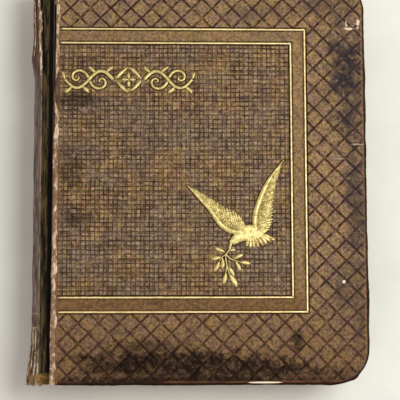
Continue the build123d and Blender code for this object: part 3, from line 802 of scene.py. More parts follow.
def cover_cloth(name, cell, front, relief, seed, material, body, node):
    """The cloth of one cover: stamped face, rounded edges, sides and turn-ins, as one closed skin."""
    edge = 1.0
    corner_x = FORE_X - BOARD_RADIUS
    straight = np.linspace(JOINT_X, corner_x, max(round((corner_x - JOINT_X) / cell), 2) + 1)
    arc = np.linspace(0, pi / 2, 15)[1:]
    xs = np.concatenate([straight, corner_x + (BOARD_RADIUS - edge) * np.sin(arc)])
    half = np.concatenate([np.full(len(straight), HALF_HEIGHT - edge),
                           HALF_HEIGHT - BOARD_RADIUS + (BOARD_RADIUS - edge) * np.cos(arc)])
    normals = np.concatenate([np.tile([0.0, 1.0], (len(straight), 1)),
                              np.stack([np.sin(arc), np.cos(arc)], 1)])
    rows = round(2 * HALF_HEIGHT / cell) + 1
    v = np.linspace(-1, 1, rows)
    x = np.repeat(xs[:, None], rows, 1)
    y = half[:, None] * v[None, :]
    pull = tear(y) if front else 0.0
    x = x + pull * (1 - smooth_step(x, JOINT_X, JOINT_X + TEAR_REACH))
    columns = len(xs)
    points = [np.stack([x, y, relief(x, y)], -1).reshape(-1, 3)]
    faces = list(grid_faces(columns, rows))
    # The face's border runs from the joint along the tail, up the fore-edge and back along the head.
    border = [i * rows for i in range(columns)]
    border += [(columns - 1) * rows + j for j in range(1, rows - 1)]
    border += [i * rows + rows - 1 for i in range(columns - 1, -1, -1)]
    out = np.vstack([normals * (1, -1), np.tile([1.0, 0.0], (rows - 2, 1)), normals[::-1]])
    flat = points[0][border]
    along = np.arange(len(border)) * cell
    bump = 0.22 * noise(along, 0, 11.0, seed) + 0.1 * noise(along, 0, 3.0, seed + 1)
    middle = abs(bump).max() * 0.5  # the bumps lie about the cloth's plain edge
    depth = COVER_DEPTH
    # The skin's rings: how far out from the face's border, how deep, and their share of the edge's bumps.
    rings = [(edge * sin(a), edge * (1 - cos(a)) + 0.12, 1.0) for a in (pi / 6, pi / 3, pi / 2)]
    rings += [(edge, depth - edge, 0.8), (edge * 0.7, depth - edge * 0.3, 0.4), (0.0, depth, 0.0),
              (edge - TURN_IN, depth, 0.0), (edge - TURN_IN, depth - CLOTH, 0.0),
              (edge - CLOTH, depth - CLOTH, 0.0), (edge - CLOTH, CLOTH, 0.0)]
    for px, py, rise, spread in SWELLINGS if front else ():
        bump = bump + rise * np.exp(-((flat[:, 0] - px) ** 2 + (flat[:, 1] - py) ** 2) / spread**2)
    previous = border
    firsts, lasts = [border[0]], [border[-1]]
    start = len(points[0])
    for outward, z, share in rings:
        ring = flat.copy()
        reach = outward + bump * share - (middle if share else 0)
        ring[:, :2] += out * reach[:, None]
        ring[:, 2] = z
        ring[[0, -1], 0] = flat[[0, -1], 0]
        index = list(range(start, start + len(border)))
        for i in range(len(border) - 1):
            faces.append((previous[i], previous[i + 1], index[i + 1], index[i]))
        points.append(ring)
        previous = index
        firsts.append(index[0])
        lasts.append(index[-1])
        start += len(border)
    # The inner skin under the face, and the cloth's cut edge along the joint.
    inner = points[0][:rows].copy()
    inner[:, 1] = v * (HALF_HEIGHT - CLOTH)
    inner[:, 2] = CLOTH
    inner_index = [previous[0]] + list(range(start, start + rows - 2)) + [previous[-1]]
    points.append(inner[1:-1])
    for j in range(rows - 1):
        faces.append((j, inner_index[j], inner_index[j + 1], j + 1))
    faces.append(tuple(previous) + tuple(inner_index[1:-1][::-1]))
    faces.append(tuple(firsts))
    faces.append(tuple(lasts[::-1]))
    points = np.vstack(points)
    if front:
        points[:, 2] = TOP_Z - points[:, 2]
    make_mesh(name, points, faces, material, body, "cover_cloth", [node])


cover_cloth("front_cover_book_cloth", 0.75, True, front_relief, 11, front_cloth, "front_cover",
            "front_cover_cloth")
cover_cloth("back_cover_book_cloth", 1.3, False, back_relief, 14, back_cloth, "back_cover",
            "back_cover_cloth")


def bent_strip(name, path, thickness, half_height, rows, wander, materials, slot, seed):
    """A closed strip of cloth or paper: its section follows a path in x and z, along the whole joint."""
    path = np.array(path, float)
    tangent = np.gradient(path, axis=0)
    tangent /= np.linalg.norm(tangent, axis=1)[:, None]
    normal = np.stack([-tangent[:, 1], tangent[:, 0]], 1)
    loop = np.vstack([path + normal * thickness / 2, (path - normal * thickness / 2)[::-1]])
    rings = []
    for y in np.linspace(-half_height, half_height, rows):
        shift = wander * noise(np.arange(len(path)) * 1.3, y, 6.0, seed)
        shift = np.concatenate([shift, shift[::-1]])
        rings.append(np.stack([loop[:, 0] + shift, np.full(len(loop), y), loop[:, 1] + shift * 0.3], 1))
    pile = Pile()
    ring_solid(pile, rings)
    # The loop's first half is the strip's outer side, and the rest its inner side.
    sides = ([0] * len(path) + [1] * len(path)) * (rows - 1) + [0, 0]
    return pile.piece(name, materials, None, slot, face_materials=sides)


def joint_strip(name, front):
    """The inner joint of one cover: mull and paper from the block's shoulder round the axis to the board."""
    sign = 1 if front else -1
    axis_z = FRONT_AXIS_Z if front else BACK_AXIS_Z
    near_block = axis_z - sign * 2.35
    inner_face = axis_z - sign * 1.85
    path = spline([(HINGE_X + 3.4, near_block), (HINGE_X + 0.6, near_block),
                   (HINGE_X - 0.5, near_block + sign * 0.2), (HINGE_X + 0.5, inner_face + sign * 0.15),
                   (HINGE_X + 2.6, inner_face + sign * 0.1)], 15)
    # The strip's outer side is nearly black: glue, and painted shade of the groove.
    sides = [glue_and_groove_shade, endpaper] if front else [endpaper, glue_and_groove_shade]
    strip = bent_strip(name, path, 0.16, HALF_HEIGHT - 16, 120, 0.05, sides, "endpaper", 51)
    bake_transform(strip)


joint_strip("front_inner_joint", True)
joint_strip("back_inner_joint", False)

# The back joint is whole: cloth runs from the back board's edge through the groove to the spine.
outer_joint = spline([(JOINT_X + 0.5, 0.28), (JOINT_X - 0.25, 0.75), (JOINT_X - 0.35, 2.3),
                      (JOINT_X - 1.0, 3.1), (HINGE_X - 0.1, 3.3), (SHOULDER_X - 0.1, 4.6),
                      (SHOULDER_X - 1.2, 5.2)], 22)
back_joint = bent_strip("back_outer_joint", outer_joint, 0.42, HALF_HEIGHT - 0.3, 160, 0.06,
                        [back_cloth, back_cloth], "cover_cloth", 61)
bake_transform(back_joint)


def joint_fray():
    """The front joint's torn edge: a cream under-layer that laps the board's edge, and its broken threads."""
    random = np.random.default_rng(7)
    pile = Pile()
    rings = []
    for y in np.linspace(-HALF_HEIGHT + 0.5, HALF_HEIGHT - 0.5, 420):
        right = JOINT_X + tear(y) + 0.5
        ragged = 0.35 * noise(0, y, 2.2, 71) + 0.45 * noise(0, y, 9.0, 72)
        hang = 1.6 + 1.1 * noise(0, y, 5.0, 73) + 0.5 * noise(0, y, 1.6, 74)
        edge = JOINT_X - 0.25 - overhang(y) + 0.35 * ragged
        rise = 0.10 * noise(3, y, 1.8, 75)
        rings.append(np.array([(x, y, TOP_Z - depth) for x, depth in (
            (right, 0.42), (right - 0.6, 0.16 - rise), (JOINT_X - 0.3, 0.24 - rise), (edge + 0.15, 0.5),
            (edge - 0.05, hang), (edge + 0.3, hang + 0.1), (JOINT_X - 0.3, 1.1), (right, 0.62))]))
    ring_solid(pile, rings)
    for _ in range(520):
        y = random.uniform(-HALF_HEIGHT + 1, HALF_HEIGHT - 1)
        if random.random() < 0.5:
            start = np.array([JOINT_X + tear(y) + 0.2, y, TOP_Z - 0.15])
            direction = (-1, random.uniform(-1.4, 1.4), random.uniform(-0.2, 0.08))
        else:
            start = np.array([JOINT_X + 0.1 - 0.8 * overhang(y), y, TOP_Z - random.uniform(0.3, 1.6)])
            direction = (-1, random.uniform(-1.2, 1.2), random.uniform(-0.7, 0.2))
        fibre(pile, start, direction, random.uniform(0.4, 1.2), random.uniform(0.05, 0.12), random, 0.3)
    pile.piece("front_joint_torn_edge", torn, "front_cover", "mull")


joint_fray()


def leaf_flap():
    """A leaf-shaped rag of cloth still held at the torn joint."""
    rings = []
    for t in np.linspace(0, 1, 30):
        y = 38.5 + 24.0 * t
        half = 1.25 * sin(pi * t) ** 0.7 + 0.08
        middle = JOINT_X + 0.9 - 0.9 * sin(pi * t)
        curl = 0.35 * sin(pi * t)
        rings.append(np.array([(x, y, TOP_Z + rise) for x, rise in (
            (middle - half, curl * 0.2 - 0.45), (middle - half * 0.5, curl * 0.8),
            (middle + half * 0.4, curl),
            (middle + half, -0.05), (middle, -0.3))]))
    pile = Pile()
    ring_solid(pile, rings)
    pile.piece("front_joint_cloth_rag", cloth_rag, "front_cover", "cover_cloth")


leaf_flap()

# ---- Spine ----
# The round's circle passes the outermost point and the two corners at RIDGE_X.
RIDGE_RISE = 17.5
spread = RIDGE_X - SPINE_X
ROUND_RADIUS = (RIDGE_RISE**2 + spread**2) / (2 * spread)
ROUND_X = SPINE_X + ROUND_RADIUS
SPINE_CLOTH = 0.42  # its thickness


def spine_profile():
    """Points (x, z, outward x, outward z) over the spine's outside, from the front groove to the back one."""
    step = 0.55
    half = np.arcsin(RIDGE_RISE / ROUND_RADIUS)
    slope_x, slope_z = SHOULDER_X - RIDGE_X, SHOULDER_TOP - (MID_Z + RIDGE_RISE)
    length = sqrt(slope_x**2 + slope_z**2)
    t = np.linspace(0, 1, max(round(slope_x / step), 4) + 1)[:-1, None]
    shoulder = (np.array([SHOULDER_X, SHOULDER_TOP - MID_Z, -slope_z / length, slope_x / length])
                - t * (slope_x, slope_z, 0, 0))
    a = np.linspace(half, -half, round(2 * half * ROUND_RADIUS / step) + 1)
    arc = np.column_stack([ROUND_X - ROUND_RADIUS * np.cos(a), ROUND_RADIUS * np.sin(a), -np.cos(a),
                           np.sin(a)])
    return np.vstack([shoulder, arc, shoulder[::-1] * (1, -1, 1, -1)]) + (0, MID_Z, 0, 0)


def crack_x(y):
    """The split at the head of the spine, seen from above: it runs from the head down to its end."""
    return CRACK_X + (HALF_HEIGHT - y) * CRACK_SLOPE + 0.3 * noise(0, y, 9.0, 81)


def spine_lift(x, y, z):
    """How far the worn spine cloth stands out from its plain shape."""
    upper = z > MID_Z
    crease = 0.22 * noise(x * 2.2, y * 0.16 + 9, 2.0, 82) + 0.12 * noise(x, y, 4.0, 83)
    ridge = 0.35 * dent(x - RIDGE_X, 0.7) * upper
    sunk = -0.3 * smooth_step(x, RIDGE_X + 0.8, RIDGE_X + 2.0)
    head = smooth_step(y, 58.0, 70.0) * upper
    from_crack = x - crack_x(y)
    split = head * (-1.5 * dent(from_crack - 0.9, 0.7) + 0.5 * dent(from_crack + 1.4, 0.9))
    tail = smooth_step(-y, 76.0, HALF_HEIGHT)
    flare = 2.6 * tail**1.6 * dent(z - MID_Z - 4, 12)
    strips = 0.7 * tail * noise(x * 1.7, y * 0.08 + 3, 1.6, 84) * (z > MID_Z - 10)
    swell = dent(z - MID_Z - 4, 11) * (0.6 + 1.3 * smooth_step(y, 56.0, 76.0))
    lump = 0.9 * dent(y - 74.0, 4.5) * dent(z - MID_Z - 5, 9)
    worn = np.abs(noise(x * 1.1, z * 0.25, 1.8, 86)) * (x < RIDGE_X + 1)
    ends = 0.8 * smooth_step(-y, 108.0, 116.0) * worn
    return crease + ridge + sunk + split + flare + strips + swell + lump + ends


def spine_surface():
    """Grids of points over the outside and the inside of the worn spine cloth."""
    profile = spine_profile()
    ys = np.linspace(-HALF_HEIGHT, HALF_HEIGHT, 239)
    x, y = np.meshgrid(profile[:, 0], ys)
    z = np.repeat(profile[None, :, 1], len(ys), 0)
    fade = np.ones(len(profile))
    fade[:3], fade[-3:] = (0.0, 0.3, 0.7), (0.7, 0.3, 0.0)
    lift = spine_lift(x, y, z) * fade
    ragged = 0.5 * noise(np.arange(len(profile)) * 1.1, 0, 2.0, 85) - 0.35
    y = y + ragged * smooth_step(np.abs(y), 112, HALF_HEIGHT) * np.sign(y)
    outer = np.stack([x + profile[:, 2] * lift, y, z + profile[:, 3] * lift], -1)
    normals = np.stack([profile[:, 2], 0 * profile[:, 2], profile[:, 3]], -1)
    return outer, outer - normals * SPINE_CLOTH


def spine_cloth():
    outer, inner = spine_surface()
    make_mesh("spine_book_cloth", np.vstack([outer.reshape(-1, 3), inner.reshape(-1, 3)]),
              sheet_faces(*outer.shape[:2])[0], spine_worn_and_shaded, "text_block", "spine_cloth", ["spine_cloth"])


spine_cloth()


def spine_point(x, y, out=0.0):
    """A point on the upper half of the spine cloth's outside, above a place seen from the front cover."""
    if x > RIDGE_X:
        t = (SHOULDER_X - x) / (SHOULDER_X - RIDGE_X)
        z = SHOULDER_TOP + (MID_Z + RIDGE_RISE - SHOULDER_TOP) * t
        normal = np.array([-0.25, 0.0, 0.97])
    else:
        reach = max(ROUND_RADIUS**2 - (ROUND_X - x) ** 2, 0.0)
        z = MID_Z + sqrt(reach)
        normal = np.array([(x - ROUND_X), 0.0, z - MID_Z]) / ROUND_RADIUS
    lift = float(spine_lift(np.array(x), np.array(y), np.array(z)))
    return np.array([x, y, z]) + normal * (lift + out)


def rag_strip(pile, xs, ys, widths, out):
    """A torn strip lying along the spine through places (x, y)."""
    rings = []
    for x, y, width in zip(xs, ys, widths):
        ring = []
        for side, rise in ((-0.5, 0.0), (-0.3, 0.32), (0.1, 0.38), (0.5, 0.05), (0.0, -0.25)):
            ring.append(spine_point(x + side * width, y, out + rise))
        rings.append(np.array(ring))
    ring_solid(pile, rings)


def taper(count):
    """Widths from narrow through full to narrow again."""
    return np.sin(pi * np.linspace(0.02, 0.98, count)) ** 0.6


def spine_rags():
    """Cream lining in the head's split, torn strips at the tail, and broken threads at both ends."""
    random = np.random.default_rng(17)
    pile = Pile()
    ys = np.linspace(61.0, 118.6, 90)
    widths = 0.3 + 0.6 * smooth_step(ys, 60, 84) + 0.35 * noise(0, ys, 2.0, 91)
    rag_strip(pile, crack_x(ys) + 0.25 * noise(1, ys, 3.0, 94), ys, np.clip(widths, 0.25, 1.6), 0.3)
    for place, low, high, width in ((-95.4, 74.0, 112.0, 0.5), (-96.2, 84.0, 118.0, 0.45)):
        ys = np.linspace(low, high, 50)
        rag_strip(pile, place + 0.35 * noise(place, ys, 5.0, 97), ys, width * taper(50), 0.2)
    for place, low, high, width in ((-94.6, -112.0, -86.0, 0.8), (-95.9, -117.5, -96.0, 0.9),
                                    (-93.0, -118.3, -100.0, 0.6), (-96.6, -116.0, -104.0, 0.7)):
        ys = np.linspace(low, high, 36)
        xs = place + 0.3 * noise(place, ys, 6.0, 92) - 0.6 * smooth_step(-ys, 100, 119)
        rag_strip(pile, xs, ys, width * taper(36), 0.25)

    def broken_thread(x, y, out, direction, lengths, radii, sag):
        fibre(pile, spine_point(x, y, out), direction, random.uniform(*lengths), random.uniform(*radii),
              random, sag)

    for _ in range(150):
        broken_thread(random.uniform(-96.8, -89.5), -117.8, 0.05,
                      (random.uniform(-0.9, 0.5), -1, random.uniform(-0.4, 0.2)), (0.5, 2.0), (0.06, 0.16),
                      0.2)
    for _ in range(110):
        y = random.uniform(-118, -84)
        broken_thread(random.uniform(-96.8, -92.4), y, 0.0,
                      (random.uniform(-1, 0.2), random.uniform(-1, 1), 0.2), (0.4, 1.6), (0.05, 0.1), 0.3)
    for _ in range(60):
        y = random.uniform(64, 118)
        broken_thread(float(crack_x(y)) + random.uniform(-0.6, 0.6), y, 0.25,
                      (random.uniform(-1, 1), random.uniform(-1, 1), 0.2), (0.3, 1.1), (0.04, 0.09), 0.3)
    pile.piece("spine_torn_strips", torn, "text_block", "mull")


spine_rags()


def spine_gilt():
    """What is left of the gold rules across the spine, pressed on its cloth."""
    pile = Pile()
    outer, _ = spine_surface()
    low, high = box("spine_gilt_rules")
    profile = spine_profile()
    on_round = (profile[:, 0] < RIDGE_X + 1.0) & (abs(profile[:, 1] - MID_Z) < RIDGE_RISE + 0.1)
    for middle in (low[1] + 0.5, high[1] - 0.5):
        row = int(np.argmin(np.abs(outer[:, 0, 1] - middle)))
        rings = []
        for j in [*np.flatnonzero(on_round), None]:
            if j is None or noise(j * 0.9, middle, 2.0, 95) > 0.62:
                # The gold ends here, or it is rubbed away.
                if len(rings) > 2:
                    ring_solid(pile, rings)
                rings = []
                continue
            normal = np.array([profile[j, 2], 0, profile[j, 3]])
            wide = 0.42 + 0.1 * noise(j, middle, 2.0, 96)
            corners = ((-wide, -0.05), (-wide * 0.8, 0.1), (wide * 0.8, 0.1), (wide, -0.05))
            rings.append(np.array([outer[row, j] + normal * out + (0, dy, 0) for dy, out in corners]))
    pile.piece("spine_gold_rules", gilt_rubbed, "text_block", "gilt", "spine_gilt_rules")


spine_gilt()


# ---- Pages ----
FOLD_CENTRE_X = -66.03
FOLD_RADIUS = 26.17
PAGE_WIDTH = 176.5
PAGE_RADIUS = 16.0


def fold_line(z):
    """Where the sections' folds stand at a height: the circle of the CAD folds."""
    return FOLD_CENTRE_X - np.sqrt(FOLD_RADIUS**2 - (z - MID_Z) ** 2)


def page_outline(left, right):
    """A leaf's outline from its fold's tail round to its head, with its outward normals."""
    corner = right - PAGE_RADIUS
    a = np.linspace(0, pi / 2, 7)[1:]
    run = np.linspace(left, corner, round((corner - left) / 7.0))
    flat = np.zeros(len(run))
    tail = np.column_stack([np.append(run, corner + PAGE_RADIUS * np.sin(a)),
                            np.append(flat, PAGE_RADIUS * (1 - np.cos(a))) - PAGE_HALF,
                            np.append(flat, np.sin(a)), np.append(flat - 1, -np.cos(a))])
    side = [(right, y, 1, 0) for y in np.linspace(PAGE_RADIUS - PAGE_HALF, PAGE_HALF - PAGE_RADIUS, 30)[1:]]
    fold = [(left, y, -1, 0) for y in np.linspace(PAGE_HALF, -PAGE_HALF, 12)[1:-1]]
    outline = np.vstack([tail, side, tail[-2::-1] * (1, -1, 1, -1), fold])
    return outline[:, :2], outline[:, 2:]


def section(number):
    """One sewn section: a stack of leaves whose cut edges differ a little, round at its fold."""
    node = f"section_{number:02d}"
    low, high = box(node)
    random = np.random.default_rng(200 + number)
    leaves = 9
    thickness = high[2] - low[2]
    rings = []
    drift = random.uniform(-0.12, 0.12)
    for i in range(leaves):
        for part in (0.08, 0.92):
            t = (i + part) / leaves
            z = low[2] + thickness * t
            fold = fold_line(z)
            round_in = 0.45 * thickness * (1 - sqrt(max(1 - (2 * t - 1) ** 2, 0)))
            outline, normals = page_outline(fold + round_in, fold + PAGE_WIDTH)
            cut = drift + random.uniform(-0.10, 0.06) - (0.07 if part == 0.92 else 0.0)
            along = np.arange(len(outline)) * 5.0
            wave = 0.06 * noise(along, number * 10 + i, 40.0, 301)
            free = normals[:, 0] >= 0
            outline = outline + normals * ((cut + wave) * free)[:, None]
            sway = 0.04 * noise(along, number * 3.0, 60.0, 302)
            rings.append(np.column_stack([outline, np.full(len(outline), z) + sway * (0.02 < t < 0.98)]))
    pile = Pile()
    ring_solid(pile, rings)
    sides = len(rings[0]) * (len(rings) - 1)
    pile.piece(f"pages_{number:02d}", [page_edges, page_face], "text_block", "page", node, smooth=False,
               face_materials=[0] * sides + [1, 1])


for number in range(1, 23):
    section(number)


def leaf(name, node, bottom, top, seed, face_material):
    """One sheet of a turning leaf, closed and thin, with rows enough to bend beside the fold."""
    low, high = box(node)
    left, right = low[0], high[0]
    corner = right - PAGE_RADIUS
    xs = np.concatenate([left + 30 * np.linspace(0, 1, 22) ** 1.15, np.linspace(left + 34, corner, 14)[1:],
                         corner + PAGE_RADIUS * np.sin(np.linspace(0, pi / 2, 9)[1:])])
    half = np.where(xs <= corner, PAGE_HALF, PAGE_HALF - PAGE_RADIUS
                    + np.sqrt(np.maximum(PAGE_RADIUS**2 - np.maximum(xs - corner, 0) ** 2, 0)))
    rows = 25
    v = np.linspace(-1, 1, rows)
    random = np.random.default_rng(seed)
    trim = random.uniform(-0.3, 0.05)
    x = np.repeat(xs[:, None], rows, 1) + trim * smooth_step(xs, left + 20, right)[:, None]
    y = (half + trim * 0.5)[:, None] * v[None, :]
    layers = [np.stack([x, y, np.full_like(x, z)], -1).reshape(-1, 3) for z in (top, bottom)]
    faces, flats = sheet_faces(len(xs), rows)
    piece = make_mesh(name, np.vstack(layers), faces, [page_edges, face_material], None, "page",
                      face_materials=[1] * flats + [0] * (len(faces) - flats))
    for polygon in piece.data.polygons:
        polygon.use_smooth = polygon.material_index == 1
    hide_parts(node)
    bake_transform(piece)


def leaves():
    bodies = {"front_flyleaf": ("flyleaf", 1, endpaper), "title_leaf": ("title_leaf_body", 1, endpaper)}
    bodies.update({f"leaf_group_{n}": (f"leaves_{n}", 3, page_face) for n in range(1, 7)})
    for order, (node, (body, sheets, face)) in enumerate(bodies.items()):
        low, high = box(node)
        step = (high[2] - low[2]) / sheets
        for sheet in range(sheets):
            bottom = low[2] + step * (sheet + 0.12)
            top = low[2] + step * (sheet + 0.88)
            leaf(f"{node}_sheet_{sheet + 1}", node, bottom, top, 400 + 10 * order + sheet, face)


leaves()


def sewn_bead(name, node, side):
    """A band sewn over a core: a bead wound with thread, and its tab glued down the folds."""
    reach = 16.3
    radius = 1.05
    bead_y = side * (PAGE_HALF + radius + 0.1)
    pile = Pile()
    rings = []
    turns = 46
    count = turns * 5
    for i in range(count + 1):
        z = MID_Z - reach + 2 * reach * i / count
        size = radius * (0.93 + 0.09 * abs(sin(pi * i / 5)))
        middle_x = fold_line(z) + radius
        rings.append(np.array([(middle_x + size * cos(a), bead_y + size * sin(a), z)
                               for a in np.linspace(0, 2 * pi, 13)[:-1]]))
    ring_solid(pile, rings)
    rings = []
    for z in np.linspace(MID_Z - reach, MID_Z + reach, 40):
        x = fold_line(z)
        far = side * (PAGE_HALF - 5.8)
        rings.append(np.array([(x, bead_y, z), (x - 0.35, bead_y, z), (x - 0.35, far, z), (x, far, z)]))
    ring_solid(pile, rings)
    pile.piece(name, sewn_band, "text_block", "band", node)


sewn_bead("sewn_headband", "headband", 1)
sewn_bead("sewn_tailband", "tailband", -1)

# ---- Gilding on the front cover ----


def gold_rule(name, node, right, tail, head, seed):
    """One gold rule: along the tail, up beside the fore-edge and back along the head."""
    left = JOINT_X + 2.2
    corners = np.array([(left, tail), (right, tail), (right, head), (left, head)])
    pile = Pile()
    for order, side in enumerate(np.array([(0, -1), (1, 0), (0, 1)])):
        start, end = corners[order:order + 2]
        length = np.hypot(*(end - start))
        along = (end - start) / length
        rings = []
        for t in np.linspace(0, 1, int(length / 1.2)):
            wobble = 0.05 * noise(t * length, seed, 3.0, 101) + 0.03 * noise(t * length, seed, 0.9, 102)
            thin = 0.06 * noise(t * length, seed + 9, 2.0, 103)
            ring = []
            for across, rise in ((-1, 0.0), (-0.86, 0.8), (0, 1.0), (0.86, 0.8), (1, 0.0)):
                # Mitred ends: the outer edge runs on to the corner and the inner one stops short.
                reach = RULE_WIDTH / 2 * across
                low_end, high_end = -reach * (order > 0), reach * (order < 2)
                distance = low_end + (length + high_end - low_end) * t
                x, y = start + along * distance + side * (reach * (1 + thin) + wobble)
                ring.append((x, y, GILT_BASE + GILT_HEIGHT * rise))
            rings.append(np.array(ring))
        ring_solid(pile, rings)
    pile.piece(name, gilt_rules, "front_cover", "gilt", node)


gold_rule("gold_outer_rule", "gilt_outer_rule", RULE_X, RULE_TAIL, RULE_HEAD, 1)
gold_rule("gold_inner_rule", "gilt_inner_rule", INNER_X, INNER_TAIL, INNER_HEAD, 5)

# The dove's points count from the middle of its body, as in the CAD.
DOVE = np.array([dove_low[0] + 35.0, dove_low[1] + 8.3])
FAR_WING_FRONT = [(-4.5, 1.0), (-8.2, 0.2), (-12.6, 1.6), (-16.4, 5.2), (-21.2, 12.6), (-28.0, 20.4),
                  (-34.8, 28.4)]
FAR_WING_BACK = [(-0.6, 4.8), (-4.4, 10.0), (-8.9, 13.6), (-14.0, 16.0), (-19.0, 19.6), (-25.0, 23.4),
                 (-34.4, 28.2)]
NEAR_WING_FRONT = [(4.4, 2.4), (3.1, 8.0), (3.5, 13.2), (5.7, 19.4), (9.5, 27.8), (14.7, 35.4), (21.0, 42.8)]
NEAR_WING_BACK = [(9.8, 0.8), (12.4, 3.8), (14.4, 8.4), (14.7, 14.2), (15.6, 21.4), (17.4, 31.2),
                  (20.8, 42.4)]


def plate(pile, outline, base, height):
    """A flat plate with an outline."""
    outline = np.asarray(outline, float)
    ring_solid(pile, [np.column_stack([outline, np.full(len(outline), base + rise)]) for rise in (0, height)])


def wing(pile, front, back, feathers):
    """A raised wing: a smooth leading edge over rows of feathers whose tips notch the trailing edge."""
    count = 60
    lead, trail = spline(front, count), spline(back, count)
    inner_trail = lead + (trail - lead) * 0.95
    plate(pile, DOVE + np.vstack([lead, inner_trail[::-1]]), GILT_BASE, 0.38)
    rows = ((1.05, 0.50, feathers, 2.3, 0.30, 0.50), (0.82, 0.34, feathers + 1, 1.8, 0.44, 0.60),
            (0.58, 0.20, feathers + 2, 1.4, 0.58, 0.66))
    for reach, start_share, number, width, low, high in rows:
        for k in range(number):
            t = 0.04 + 0.94 * k / (number - 1)
            tip_index = min(int(t * (count - 1)), count - 1)
            root_index = max(tip_index - int(0.16 * count), 0)
            tip = lead[tip_index] + (trail[tip_index] - lead[tip_index]) * reach
            root = lead[root_index] + (trail[root_index] - lead[root_index]) * start_share
            slim = width * (1 - 0.45 * t)
            blade(pile, DOVE + root, DOVE + tip, slim, GILT_BASE + low * 0.6, high * 0.75, 0.6, 0.12)
    middle = lead + (trail - lead) * 0.14
    width = np.linalg.norm(trail - lead, axis=1) * 0.30 + 0.25
    return lambda smooth: ribbon(smooth, DOVE + middle, np.clip(width, 0.6, 3.0), GILT_BASE + 0.1, 0.66)


def domed(pile, outline, spine_line, base, height, layers=5):
    """A smooth rounded body: rings from its outline in to its middle line."""
    outline, spine_line = np.asarray(outline, float), np.asarray(spine_line, float)
    if pile.rim:
        away = outline - spine_line
        away /= np.linalg.norm(away, axis=1)[:, None] + 1e-9
        plate(pile.rim, outline + away * RIM_WIDTH, RIM_BASE, RIM_HEIGHT)
    rings = [np.column_stack([outline, np.full(len(outline), base)])]
    for k in range(layers + 1):
        s = 0.9 * k / layers
        ring = outline + (spine_line - outline) * s
        rise = height * (0.35 + 0.65 * sqrt(1 - (1 - s) ** 2))
        rings.append(np.column_stack([ring, np.full(len(ring), base + rise)]))
    ring_solid(pile, rings)


gold_rims = Pile()


def dove():
    pile, smooth = Pile(gold_rims), Pile(gold_rims)
    for leading_edge in (wing(pile, FAR_WING_FRONT, FAR_WING_BACK, 17),
                         wing(pile, NEAR_WING_FRONT, NEAR_WING_BACK, 18)):
        leading_edge(smooth)
    # The tail fans out to the right and below.
    tips = [(16.4, -3.6), (14.2, -4.5), (12.0, -5.6), (9.4, -6.7), (6.8, -7.6), (4.2, -8.0), (1.8, -8.3),
            (-0.4, -7.2)]
    for order, tip in enumerate(tips):
        root = np.array([6.0, 1.2]) - np.array([0.75, 0.22]) * order
        blade(pile, DOVE + root, DOVE + np.array(tip), 2.5, GILT_BASE + 0.1 + 0.02 * order, 0.42, 0.62, 0.1)
    upper = spline([(10.2, 0.3), (5.6, 4.2), (2.2, 5.6), (-1.2, 5.2), (-4.4, 3.3), (-8.0, -0.4),
                    (-10.4, -3.8)], 26)
    lower = spline([(-10.3, -5.0), (-8.6, -6.0), (-6.8, -5.8), (-4.2, -4.6), (-1.6, -4.0), (3.0, -3.6),
                    (7.0, -2.2)], 26)
    middle = spline([(8.6, -0.6), (4.0, 0.6), (-1.0, 0.6), (-5.0, -1.6), (-8.9, -4.6)], 26)
    domed(smooth, DOVE + np.vstack([upper, lower]), DOVE + np.vstack([middle, middle[::-1]]), GILT_BASE, 0.75)
    blade(smooth, DOVE + np.array([-9.2, -4.2]), DOVE + np.array([-10.4, -9.4]), 2.0, GILT_BASE, 0.6, 0.3)
    pile.piece("gold_dove_feathers", gilt_feathers, "front_cover", "gilt", "gilt_dove")
    smooth.piece("gold_dove_body", gilt, "front_cover", "gilt", "gilt_dove")


dove()

SPRIG_STEMS = [
    [(-10.5, -9.0), (-12.4, -12.0), (-12.2, -16.0), (-11.4, -20.0), (-10.2, -23.6)],
    [(-12.2, -11.8), (-9.2, -14.4), (-4.4, -16.0)],
    [(-12.4, -11.6), (-14.2, -12.8), (-16.2, -15.6)],
    [(-11.8, -18.4), (-12.6, -22.0)],
]
SPRIG_LEAVES = [
    ((-12.6, -10.2), (-18.7, -7.6)), ((-14.6, -12.9), (-21.2, -14.2)), ((-16.0, -15.2), (-19.2, -21.6)),
    ((-14.4, -13.4), (-14.4, -20.2)), ((-10.8, -9.6), (-6.6, -8.9)), ((-8.4, -14.6), (-2.4, -11.6)),
    ((-5.0, -16.0), (1.8, -17.0)), ((-7.0, -15.4), (-4.0, -21.4)), ((-11.4, -18.4), (-7.6, -24.0)),
    ((-12.4, -21.4), (-13.9, -28.8)), ((-10.6, -22.6), (-6.0, -30.4)),
]


def sprig():
    pile = Pile(gold_rims)
    for stem in SPRIG_STEMS:
        line = spline(stem, 24)
        ribbon(pile, DOVE + line, np.linspace(0.85, 0.5, 24), GILT_BASE, 0.5)
    for root, tip in SPRIG_LEAVES:
        length = np.hypot(tip[0] - root[0], tip[1] - root[1])
        blade(pile, DOVE + np.array(root), DOVE + np.array(tip), 0.33 * length + 0.5, GILT_BASE, 0.66, 0.52,
              0.25)
    pile.piece("gold_olive_sprig", gilt, "front_cover", "gilt", "gilt_olive_sprig")


sprig()


